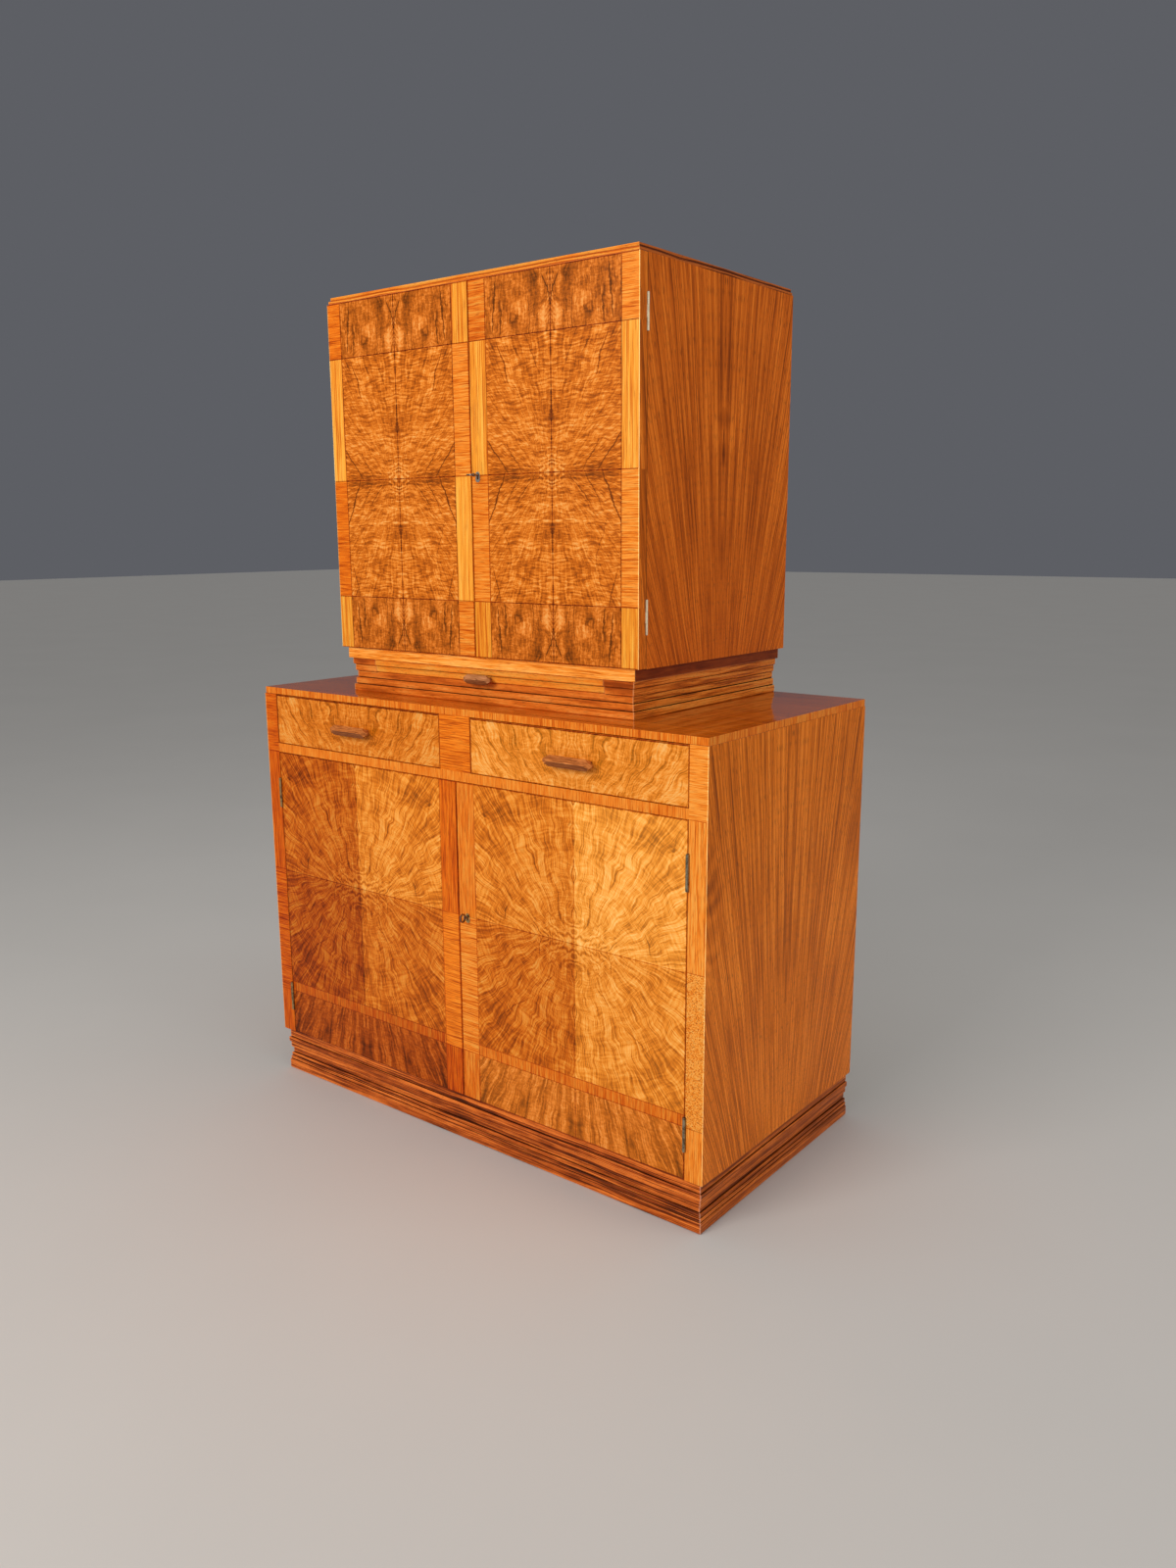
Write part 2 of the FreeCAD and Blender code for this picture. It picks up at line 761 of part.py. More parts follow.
# Keyhole with its slot hanging from the round hole
def keyhole(place_x, level, front, depth, play):
    round_hole = peg(key_radius + play, depth, Vector(place_x, front, level), backwards)
    half_slot = key_bit_thick / 2 + keyhole_slot_play
    slot = slab(place_x - half_slot, place_x + half_slot, front, front + depth,
                level - key_bit_reach - keyhole_play, level)
    return round_hole.fuse(slot)


# Lock let into the back of a right door, its bolt running out through the meeting edge
def lock_room(front, door_thick, level):
    edge = meeting_gap / 2
    rear = front + door_thick
    return slab(edge, edge + lock_width, rear - lock_depth, rear, level - lock_height / 2,
                level + lock_height / 2)


def lock_case(front, door_thick, level, key_place):
    edge = meeting_gap / 2
    rear = front + door_thick
    shell = lock_room(front, door_thick, level)
    inside = slab(edge + lock_wall, edge + lock_width - lock_wall, rear - lock_depth + lock_wall,
                  rear - lock_wall, level - lock_height / 2 + lock_wall,
                  level + lock_height / 2 - lock_wall)
    bolt_face = lock_bolt_face(front, door_thick)
    mouth = slab(edge - overrun, edge + lock_wall + overrun, bolt_face - lock_bolt_fit,
                 bolt_face + lock_bolt_depth + lock_bolt_fit,
                 level - lock_bolt_height / 2 - lock_bolt_fit,
                 level + lock_bolt_height / 2 + lock_bolt_fit)
    entry = keyhole(key_place, level, rear - lock_depth - overrun, lock_wall + 2 * overrun, key_fit)
    return shell.cut(inside).cut(mouth).cut(entry)


def lock_bolt_face(front, door_thick):
    return front + door_thick - lock_depth + 2 * lock_wall


def lock_bolt(front, door_thick, level):
    tip = meeting_gap / 2 + lock_bolt_rest
    face = lock_bolt_face(front, door_thick)
    head = slab(tip, tip + lock_bolt_head, face, face + lock_bolt_depth,
                level - lock_bolt_height / 2, level + lock_bolt_height / 2)
    tail = slab(tip, tip + lock_tail_length, face, face + lock_tail_thick,
                level + lock_tail_lift, level + lock_tail_lift + lock_tail_height)
    return head.fuse(tail).removeSplitter()


def lock_bolt_pocket(front, door_thick, level):
    face = lock_bolt_face(front, door_thick)
    deep = lock_bolt_travel + bolt_pocket_play
    half = lock_bolt_height / 2 + bolt_pocket_play
    return slab(-meeting_gap / 2 - deep, 0, face - bolt_pocket_play,
                face + lock_bolt_depth + bolt_pocket_play, level - half, level + half)


# Plate with round ends about the origin, its length up Z, its thickness along Y
def round_ended(length, width, thick):
    round_end = width / 2
    straight = length / 2 - round_end
    outline = [Part.makeLine(Vector(-round_end, 0, -straight), Vector(-round_end, 0, straight)),
               Part.Arc(Vector(-round_end, 0, straight), Vector(0, 0, length / 2),
                        Vector(round_end, 0, straight)).toShape(),
               Part.makeLine(Vector(round_end, 0, straight), Vector(round_end, 0, -straight)),
               Part.Arc(Vector(round_end, 0, -straight), Vector(0, 0, -length / 2),
                        Vector(-round_end, 0, -straight)).toShape()]
    return Part.Face(Part.Wire(outline)).extrude(backwards * thick)


def keyhole_plate(front, level, key_place):
    plate = round_ended(plate_height, plate_width, plate_thick)
    plate.translate(Vector(key_place, front - plate_thick, level - key_bit_reach / 2))
    return plate.cut(keyhole(key_place, level, front - overrun - plate_thick,
                             2 * overrun + plate_thick, keyhole_play))


# Key with a long ring for its bow, which stands up and down as its bit does
def key(front, door_thick, level, key_place, reach):
    rear = front + door_thick
    bit_rear = rear - lock_wall - key_end_play
    tip = front - reach
    bow = round_ended(key_bow_width, key_bow_length, key_bow_thick)
    bow = bow.cut(round_ended(key_bow_width - 2 * key_bow_ring, key_bow_length - 2 * key_bow_ring,
                              key_bow_thick))
    bow.translate(backwards * (-key_bow_thick / 2))
    bow.rotate(Vector(0, 0, 0), upwards, quarter_turn)
    bow.translate(Vector(0, tip + key_bow_length / 2, 0))
    collar_start = tip + key_bow_length - key_bow_seat
    stem_start = collar_start + key_collar_length
    stem = peg(key_radius, bit_rear - stem_start, Vector(0, stem_start, 0), backwards)
    collar = peg(key_collar_radius, key_collar_length, Vector(0, collar_start, 0), backwards)
    bit = slab(-key_bit_thick / 2, key_bit_thick / 2, bit_rear - key_bit_depth, bit_rear,
               -key_bit_reach, 0)
    shape = bow.fuse(stem).fuse(collar).fuse(bit).removeSplitter()
    shape.translate(Vector(key_place, 0, level))
    return shape


# Flat bolt in a groove down the meeting edge of a left door
def edge_bolt_rear(front, door_thick):
    return front + door_thick - edge_bolt_back_wall


def edge_bolt(front, door_thick, top):
    face = -meeting_gap / 2
    rear = edge_bolt_rear(front, door_thick)
    high = top - edge_bolt_rest
    bar = slab(face - edge_bolt_thick, face, rear - edge_bolt_width, rear,
               high - edge_bolt_length, high)
    grip = peg(edge_bolt_grip_radius, edge_bolt_grip_depth,
               Vector(face - edge_bolt_grip_depth, rear - edge_bolt_width / 2,
                      high - edge_bolt_grip_drop), across)
    return bar.cut(grip)


def edge_bolt_groove(front, door_thick, top):
    face = -meeting_gap / 2
    rear = edge_bolt_rear(front, door_thick)
    return slab(face - edge_bolt_thick - edge_bolt_fit, face + overrun,
                rear - edge_bolt_width - edge_bolt_fit, rear + edge_bolt_fit,
                top - edge_bolt_rest - edge_bolt_length - edge_bolt_fit, top + overrun)


def edge_bolt_hole(front, door_thick, level):
    face = -meeting_gap / 2
    rear = edge_bolt_rear(front, door_thick)
    play = edge_bolt_hole_play
    return slab(face - edge_bolt_thick - play, face + play, rear - edge_bolt_width - play,
                rear + play, level - overrun, level + edge_bolt_travel + play)


def door_parts():
    lower_level = base_height + lower_lock_height
    upper_level = upper_floor + upper_lock_height
    lower_top_edge = rail_bottom - lower_door_gap
    upper_top_edge = upper_ceiling - upper_door_gap
    lower = (lower_front, lower_door_thick)
    upper = (upper_front, upper_door_thick)
    parts = {}
    right = plain_lower_door()
    left = mirrored(right)
    right = right.cut(lock_room(*lower, lower_level))
    right = right.cut(keyhole(lower_key_place, lower_level, lower_front - overrun,
                              lower_door_thick, keyhole_play))
    parts["lower_right_door"] = right
    left = left.cut(lock_bolt_pocket(*lower, lower_level))
    parts["lower_left_door"] = left.cut(edge_bolt_groove(*lower, lower_top_edge))
    right = plain_upper_door()
    left = mirrored(right)
    right = right.cut(lock_room(*upper, upper_level))
    right = right.cut(keyhole(upper_key_place, upper_level, upper_front - overrun,
                              upper_door_thick, keyhole_play))
    parts["upper_right_door"] = right
    left = left.cut(lock_bolt_pocket(*upper, upper_level))
    parts["upper_left_door"] = left.cut(edge_bolt_groove(*upper, upper_top_edge))
    parts["lower_left_bolt"] = edge_bolt(*lower, lower_top_edge)
    parts["upper_left_bolt"] = edge_bolt(*upper, upper_top_edge)
    parts["lower_lock"] = Part.makeCompound([lock_case(*lower, lower_level, lower_key_place),
                                             keyhole_plate(lower_front, lower_level,
                                                           lower_key_place)])
    parts["upper_lock"] = Part.makeCompound([lock_case(*upper, upper_level, upper_key_place),
                                             keyhole_plate(upper_front, upper_level,
                                                           upper_key_place)])
    parts["lower_lock_bolt"] = lock_bolt(*lower, lower_level)
    parts["upper_lock_bolt"] = lock_bolt(*upper, upper_level)
    parts["lower_key"] = key(*lower, lower_level, lower_key_place, lower_key_reach)
    turned = key(*upper, upper_level, upper_key_place, upper_key_reach)
    turned.rotate(Vector(upper_key_place, 0, upper_level), backwards, -quarter_turn)
    parts["upper_key"] = turned
    parts["lower_right_hinge_leaves"] = Part.makeCompound(lower_leaves(-1))
    parts["lower_left_hinge_leaves"] = mirrored(parts["lower_right_hinge_leaves"])
    parts["upper_right_hinge_leaves"] = Part.makeCompound(upper_leaves(-1))
    parts["upper_left_hinge_leaves"] = mirrored(parts["upper_right_hinge_leaves"])
    return parts


def all_parts():
    parts = {}
    parts.update(base_parts())
    parts["lower_right_side"] = lower_right_side()
    parts["lower_left_side"] = mirrored(parts["lower_right_side"])
    parts["lower_right_stile"] = lower_right_stile()
    parts["lower_left_stile"] = mirrored(parts["lower_right_stile"])
    parts["lower_bottom"] = lower_bottom()
    parts["lower_top"] = lower_top()
    parts["lower_back"] = lower_back()
    parts["drawer_rail"] = drawer_rail()
    parts["drawer_stile"] = drawer_stile()
    parts["drawer_runners"] = drawer_runners()
    parts["lower_shelf"] = lower_shelf()
    parts["shelf_battens"] = battens(lower_inner, lower_front, lower_shelf_height)
    for name, shape in drawer_parts().items():
        parts["right_" + name] = shape
        parts["left_" + name] = mirrored(shape)
    parts["upper_right_side"] = upper_right_side()
    parts["upper_left_side"] = mirrored(parts["upper_right_side"])
    parts["upper_bottom"] = upper_board(upper_floor)
    parts["upper_top"] = upper_board(upper_ceiling - upper_board_thick)
    parts["upper_back"] = upper_back()
    parts["upper_shelf"] = upper_shelf()
    parts["upper_shelf_battens"] = battens(upper_inner, upper_carcase_front,
                                           upper_floor + upper_shelf_height)
    parts["cornice"] = cornice()
    parts.update(frieze_parts())
    parts.update(plinth_parts())
    parts.update(slide_parts())
    parts["hinge_frame_leaves"] = hinge_frame_leaves()
    parts.update(door_parts())
    return parts


os.makedirs("parts", exist_ok=True)
for name, shape in all_parts().items():
    shape.exportStep("parts/" + name + ".step")
    print(name, len(shape.Solids), round(shape.Volume))
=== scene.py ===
import json
import math
import bmesh
import bpy
from mathutils import Matrix, Vector


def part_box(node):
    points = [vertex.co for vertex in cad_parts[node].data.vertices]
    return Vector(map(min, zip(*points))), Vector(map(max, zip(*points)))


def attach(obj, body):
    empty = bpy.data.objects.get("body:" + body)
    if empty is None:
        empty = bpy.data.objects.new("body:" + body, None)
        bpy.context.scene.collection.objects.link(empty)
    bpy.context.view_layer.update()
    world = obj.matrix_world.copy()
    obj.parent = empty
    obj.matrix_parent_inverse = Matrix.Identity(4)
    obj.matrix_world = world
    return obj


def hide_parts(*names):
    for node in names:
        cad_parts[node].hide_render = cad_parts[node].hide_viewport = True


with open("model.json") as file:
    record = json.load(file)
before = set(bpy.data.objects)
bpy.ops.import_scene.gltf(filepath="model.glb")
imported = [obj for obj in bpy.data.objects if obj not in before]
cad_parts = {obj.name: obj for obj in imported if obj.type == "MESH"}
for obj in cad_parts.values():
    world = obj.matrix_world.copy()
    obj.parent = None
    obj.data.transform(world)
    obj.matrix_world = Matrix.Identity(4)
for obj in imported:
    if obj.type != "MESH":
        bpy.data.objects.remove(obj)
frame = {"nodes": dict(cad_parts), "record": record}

print("bar cabinet: frame loaded")
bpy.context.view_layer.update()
nodes = frame["nodes"]
bodyOf = {name: body for body, names in frame["record"]["behaviour"]["bodies"].items()
          for name in names}


# shader helpers: a socket is joined, a plain value is set
def feed(tree, socket, value):
    if isinstance(value, bpy.types.NodeSocket):
        tree.links.new(value, socket)
    else:
        socket.default_value = value


def calc(tree, operation, first, second=0.0, third=0.0):
    node = tree.nodes.new("ShaderNodeMath")
    node.operation = operation
    for socket, value in zip(node.inputs, (first, second, third)):
        feed(tree, socket, value)
    return node.outputs[0]


def pack(tree, across, depth, along):
    node = tree.nodes.new("ShaderNodeCombineXYZ")
    for socket, value in zip(node.inputs, (across, depth, along)):
        feed(tree, socket, value)
    return node.outputs[0]


def unpack(tree, vector):
    node = tree.nodes.new("ShaderNodeSeparateXYZ")
    tree.links.new(vector, node.inputs[0])
    return node.outputs


def objectPlace(tree):
    return tree.nodes.new("ShaderNodeTexCoord").outputs["Object"]


def attribute(tree, name):
    node = tree.nodes.new("ShaderNodeAttribute")
    node.attribute_name = name
    return node.outputs["Fac"]


shiftShares = (1.0, 1.7, 0.6)  # how far a shift of one moves a noise across, in depth and along


def noise(tree, place, size, detail=2.0, roughness=0.5, shift=0.0):
    node = tree.nodes.new("ShaderNodeMapping")  # size is the grain's width, depth and length
    node.inputs["Scale"].default_value = [1 / s for s in size]
    node.inputs["Location"].default_value = [shift * share for share in shiftShares]
    feed(tree, node.inputs["Vector"], place)
    field = tree.nodes.new("ShaderNodeTexNoise")
    field.inputs["Scale"].default_value = 1.0
    field.inputs["Detail"].default_value = detail
    field.inputs["Roughness"].default_value = roughness
    feed(tree, field.inputs["Vector"], node.outputs[0])
    return field.outputs[0]


def ramp(tree, value, stops):  # a stop has a place and either a colour or one grey value
    node = tree.nodes.new("ShaderNodeValToRGB")
    elements = node.color_ramp.elements
    while len(elements) < len(stops):
        elements.new(0.5)
    for element, (position, colour) in zip(elements, stops):
        element.position = position
        element.color = (*colour, 1.0) if isinstance(colour, tuple) else (colour,) * 3 + (1.0,)
    feed(tree, node.inputs[0], value)
    return node.outputs[0]


def blendColour(tree, share, first, second):
    node = tree.nodes.new("ShaderNodeMix")
    node.data_type = "RGBA"
    feed(tree, node.inputs[0], share)
    for socket, value in ((node.inputs[6], first), (node.inputs[7], second)):
        feed(tree, socket, (*value, 1.0) if isinstance(value, tuple) else value)
    return node.outputs[2]


def newMaterial(name):
    material = bpy.data.materials.new(name)
    material.use_nodes = True
    return material, material.node_tree, material.node_tree.nodes["Principled BSDF"]


def bump(tree, shader, height, strength, distance):
    node = tree.nodes.new("ShaderNodeBump")
    node.inputs["Strength"].default_value = strength
    node.inputs["Distance"].default_value = distance
    feed(tree, node.inputs["Height"], height)
    tree.links.new(node.outputs[0], shader.inputs["Normal"])


# wood: veneer leaves read their own map, solid pieces are cut from the block
leafSpacing = 7.31  # how far apart two leaves lie in the pattern
grainAxes = {"X": (2, 1, 0), "Y": (2, 0, 1), "Z": (0, 1, 2)}  # the axes across, in depth and along
# what the figure of every wood shares
figureLook = {"blockDepth": 0.004, "layerRoughness": 0.6, "ruffleStretch": 0.6, "curlStretch": 1.5,
              "postShare": 0.5}
# where each noise is cut, so that no two patterns fall together
shiftOf = {"sway": 3.1, "swayAlong": 8.7, "ruffle": 6.2, "curl": 4.4, "layer": 1.3, "nextLayer": 2.9,
           "pores": 5.5, "rubbedAndLit": 14.0, "smear": 11.0, "patches": 2.0, "specks": 6.0}
# the surface of every wood: a ramp's pairs are a place on it and what it gives there
surfaceLook = {"poreRamp": [(0.58, 0.0), (0.70, 1.0)], "dirtAndShadeRamp": [(0.45, 1.0), (0.90, 0.0)],
               "rubbedAndLitRamp": [(0.45, 1.0), (0.85, 0.0)], "undershadeRamp": [(0.30, 1.0), (0.50, 0.0)],
               "dirtAndShadeShare": 0.9, "toneShare": 0.8, "rubbedAndLitSize": (0.02, 0.02, 0.05),
               "smearSize": (0.09, 0.09, 0.12), "poreDepth": 0.5, "reliefDepth": 0.0004,
               "occlusionSamples": 6}
# a wood is a polished leaf of veneer where its own look doesn't say otherwise
plainLook = {"cut": "leaf", "matched": "", "marks": (), "veins": (), "curls": (),
             "pores": 0.35, "poreSize": (0.0009, 0.011), "poreColour": (0.13, 0.030, 0.003),
             "roughness": (0.28, 0.45), "shine": 0.10, "coat": 0.02, "coatRoughness": 0.12,
             "relief": 0.25, "wearAndHighlightShare": 1.0}


def woodPlace(tree, cut):  # across, in depth and along: on the leaf's own map, or in the block
    if cut == "leaf":
        leafMap = tree.nodes.new("ShaderNodeUVMap")
        leafMap.uv_map = "leaf"
        place = unpack(tree, leafMap.outputs[0])
        return place[0], calc(tree, "MULTIPLY", attribute(tree, "leafNumber"), leafSpacing), place[1]
    place = unpack(tree, objectPlace(tree))
    return [place[axis] for axis in grainAxes[cut]]


def grainSize(look, width, length):  # a leaf's pattern is the same all through it
    return width, 1.0 if look["cut"] == "leaf" else max(width, figureLook["blockDepth"]), length


def fanFlow(tree, across, along, fan):  # lines spread from a focus beside the match
    side, drop, reach = fan
    run = calc(tree, "ADD", across, side)
    rise = calc(tree, "ADD", along, drop)
    spread = calc(tree, "ARCTAN2", run, rise)
    squares = calc(tree, "MULTIPLY_ADD", run, run, calc(tree, "MULTIPLY", rise, rise))
    stretch = calc(tree, "LOGARITHM", calc(tree, "DIVIDE", calc(tree, "SQRT", squares), reach), math.e)
    return calc(tree, "MULTIPLY", spread, reach), calc(tree, "MULTIPLY", stretch, reach)


def addMark(tree, total, across, along, mark):  # a soft oval, paler or darker
    middleAcross, middleAlong, halfWidth, halfLength, gain = mark
    aside = calc(tree, "DIVIDE", calc(tree, "SUBTRACT", across, middleAcross), halfWidth)
    above = calc(tree, "DIVIDE", calc(tree, "SUBTRACT", along, middleAlong), halfLength)
    ring = calc(tree, "MULTIPLY_ADD", aside, aside, calc(tree, "MULTIPLY", above, above))
    spot = calc(tree, "MAXIMUM", calc(tree, "SUBTRACT", 1.0, ring), 0.0)
    return calc(tree, "MULTIPLY_ADD", spot, gain, total)


def fadeOut(tree, distance):  # one in the middle, nothing from a distance of one
    near = calc(tree, "MULTIPLY_ADD", distance, calc(tree, "MULTIPLY", distance, -1.0), 1.0)
    return calc(tree, "MAXIMUM", near, 0.0)


def addVein(tree, total, across, along, vein):  # a thin leaning line, dark where the gain is negative
    middleAcross, middleAlong, lean, halfLength, halfWidth, gain = vein
    above = calc(tree, "SUBTRACT", along, middleAlong)
    aside = calc(tree, "MULTIPLY_ADD", above, -lean, calc(tree, "SUBTRACT", across, middleAcross))
    thin = fadeOut(tree, calc(tree, "DIVIDE", aside, halfWidth))
    far = fadeOut(tree, calc(tree, "DIVIDE", above, halfLength))
    return calc(tree, "MULTIPLY_ADD", calc(tree, "MULTIPLY", thin, far), gain, total)


def addEye(tree, total, across, along, eye):  # small roofs one above the other at the match point
    halfWidth, halfLength, pitch, lean, gain = eye
    rise = calc(tree, "MULTIPLY_ADD", across, lean, along)
    roofs = calc(tree, "COSINE", calc(tree, "MULTIPLY", rise, math.tau / pitch))
    posts = calc(tree, "COSINE", calc(tree, "MULTIPLY", across, math.tau / pitch))
    lines = calc(tree, "MULTIPLY_ADD", posts, figureLook["postShare"], roofs)
    fade = addMark(tree, 0.0, across, along, (0.0, 0.0, halfWidth, halfLength, gain))
    return calc(tree, "MULTIPLY_ADD", lines, fade, total)


def addCurl(tree, total, place, across, along, curl):  # level lines of a slow swell, as in a crotch
    size, lines, *where, gain = curl
    swellSize = (size, 1.0, size * figureLook["curlStretch"])
    swell = noise(tree, place, swellSize, detail=1.0, roughness=0.4, shift=shiftOf["curl"])
    wave = calc(tree, "COSINE", calc(tree, "MULTIPLY", swell, lines * math.tau))
    fade = addMark(tree, 0.0, across, along, (*where, gain))
    return calc(tree, "MULTIPLY_ADD", wave, fade, total)


def drawFigure(tree, look):  # how light the wood is, the plain place, and the place in the flow
    across, depth, signedAlong = woodPlace(tree, look["cut"])
    signedAcross = across
    if "across" in look["matched"]:
        across = calc(tree, "ABSOLUTE", across)
    along = calc(tree, "ABSOLUTE", signedAlong) if "along" in look["matched"] else signedAlong
    start = pack(tree, across, depth, along)
    swayWidth, swayLength, wander = look["wander"]
    swaySize = grainSize(look, swayWidth, swayLength)
    sway = noise(tree, start, swaySize, detail=1.5, shift=shiftOf["sway"])
    swayAlong = noise(tree, start, swaySize, detail=1.0, shift=shiftOf["swayAlong"])
    across = calc(tree, "MULTIPLY_ADD", sway, 2 * wander, calc(tree, "SUBTRACT", across, wander))
    shift = calc(tree, "MULTIPLY_ADD", swayAlong, 2 * wander, -wander)
    along = calc(tree, "ADD", along, shift)
    signedAlong = calc(tree, "ADD", signedAlong, shift)
    if "ruffle" in look:  # a fine waviness on top of the slow one
        size, ruffle = look["ruffle"]
        ruffleSize = grainSize(look, size, size * figureLook["ruffleStretch"])
        finer = noise(tree, start, ruffleSize, detail=1.0, shift=shiftOf["ruffle"])
        across = calc(tree, "MULTIPLY_ADD", finer, 2 * ruffle, calc(tree, "SUBTRACT", across, ruffle))
    places = {"flat": pack(tree, across, depth, along)}
    places["flow"] = places["flat"]
    if "fan" in look:
        flowAcross, flowAlong = fanFlow(tree, across, along, look["fan"])
        places["flow"] = pack(tree, flowAcross, depth, flowAlong)
    total = 0.5 - sum(layer[3] for layer in look["layers"])
    for number, (width, length, detail, share, kind) in enumerate(look["layers"]):
        field = noise(tree, places[kind], grainSize(look, width, length), detail,
                      figureLook["layerRoughness"], shiftOf["layer"] + number * shiftOf["nextLayer"])
        total = calc(tree, "MULTIPLY_ADD", field, 2 * share, total)
    for mark in look["marks"]:
        total = addMark(tree, total, across, signedAlong, mark)
    for vein in look["veins"]:
        total = addVein(tree, total, across, signedAlong, vein)
    if "eye" in look:
        total = addEye(tree, total, across, along, look["eye"])
    for curl in look["curls"]:  # one with its middle left of the match isn't mirrored
        total = addCurl(tree, total, start, signedAcross if curl[2] < 0 else across, along, curl)
    return total, start, places["flow"]


def addTone(tree, colour):  # a darker leaf is also a redder one
    tone = attribute(tree, "tone")
    share = surfaceLook["toneShare"]
    deepen = tree.nodes.new("ShaderNodeGamma")
    feed(tree, deepen.inputs[0], colour)
    feed(tree, deepen.inputs[1], calc(tree, "MULTIPLY_ADD", tone, -share, 1.0))
    lift = tree.nodes.new("ShaderNodeHueSaturation")
    feed(tree, lift.inputs["Color"], deepen.outputs[0])
    feed(tree, lift.inputs["Value"], calc(tree, "MULTIPLY_ADD", tone, share, 1.0))
    return lift.outputs[0]


def occlusion(tree, distance, isInside):
    node = tree.nodes.new("ShaderNodeAmbientOcclusion")
    node.samples = surfaceLook["occlusionSamples"]
    node.only_local = True
    node.inside = isInside
    node.inputs["Distance"].default_value = distance
    return node.outputs["AO"]


def addDirtAndGrooveShade(tree, colour, look):  # dirt and old polish gather in the grooves, together with painted shade
    grooveDirtAndShade = ramp(tree, occlusion(tree, look["dirtAndShadeReach"], False), surfaceLook["dirtAndShadeRamp"])
    share = calc(tree, "MULTIPLY", grooveDirtAndShade, surfaceLook["dirtAndShadeShare"])
    return blendColour(tree, share, colour, look["dirtAndShadeColour"])


def addWearAndEdgeHighlight(tree, colour, look, place):  # handled arrises are rubbed lighter, with a painted highlight on the convex edges
    rubbedAndLit = ramp(tree, occlusion(tree, look["wearAndHighlightReach"], True), surfaceLook["rubbedAndLitRamp"])
    patchy = noise(tree, place, surfaceLook["rubbedAndLitSize"], detail=3.0, roughness=0.6, shift=shiftOf["rubbedAndLit"])
    share = calc(tree, "MULTIPLY", rubbedAndLit, calc(tree, "MULTIPLY", patchy, look["wearAndHighlightShare"]))
    return blendColour(tree, share, colour, look["wearAndHighlightColour"])


def addPaintedUndershade(tree, colour, look):  # painted shade on faces that look down
    normal = unpack(tree, tree.nodes.new("ShaderNodeNewGeometry").outputs["Normal"])
    undershade = ramp(tree, calc(tree, "MULTIPLY_ADD", normal[2], 0.5, 0.5), surfaceLook["undershadeRamp"])
    share = calc(tree, "MULTIPLY", undershade, look["paintedUndershade"])
    return blendColour(tree, share, colour, look["dirtAndShadeColour"])


def makeWood(name, ownLook):
    look = dict(plainLook, **ownLook)
    material, tree, shader = newMaterial(name)
    total, start, flow = drawFigure(tree, look)
    colour = ramp(tree, total, look["colours"])
    pores = noise(tree, flow, grainSize(look, *look["poreSize"]), detail=1.0, shift=shiftOf["pores"])
    pits = ramp(tree, pores, surfaceLook["poreRamp"])
    pitShare = calc(tree, "MULTIPLY", pits, look["pores"])
    colour = blendColour(tree, pitShare, colour, look["poreColour"])
    if look["cut"] == "leaf":
        colour = addTone(tree, colour)
    if "dirtAndShadeReach" in look:
        # grooves get dirt and painted shade
        colour = addDirtAndGrooveShade(tree, colour, look)
    if "wearAndHighlightReach" in look:
        # arrises get wear and a painted highlight
        colour = addWearAndEdgeHighlight(tree, colour, look, start)
    if "paintedUndershade" in look:
        colour = addPaintedUndershade(tree, colour, look)
    tree.links.new(colour, shader.inputs["Base Color"])
    smear = noise(tree, start, surfaceLook["smearSize"], detail=3.0, roughness=0.6, shift=shiftOf["smear"])
    low, high = look["roughness"]
    tree.links.new(calc(tree, "MULTIPLY_ADD", smear, high - low, low), shader.inputs["Roughness"])
    shader.inputs["Specular IOR Level"].default_value = look["shine"]
    shader.inputs["Coat Weight"].default_value = look["coat"]
    shader.inputs["Coat Roughness"].default_value = look["coatRoughness"]
    height = calc(tree, "MULTIPLY_ADD", pits, -surfaceLook["poreDepth"], total)
    bump(tree, shader, height, look["relief"], surfaceLook["reliefDepth"])
    return material


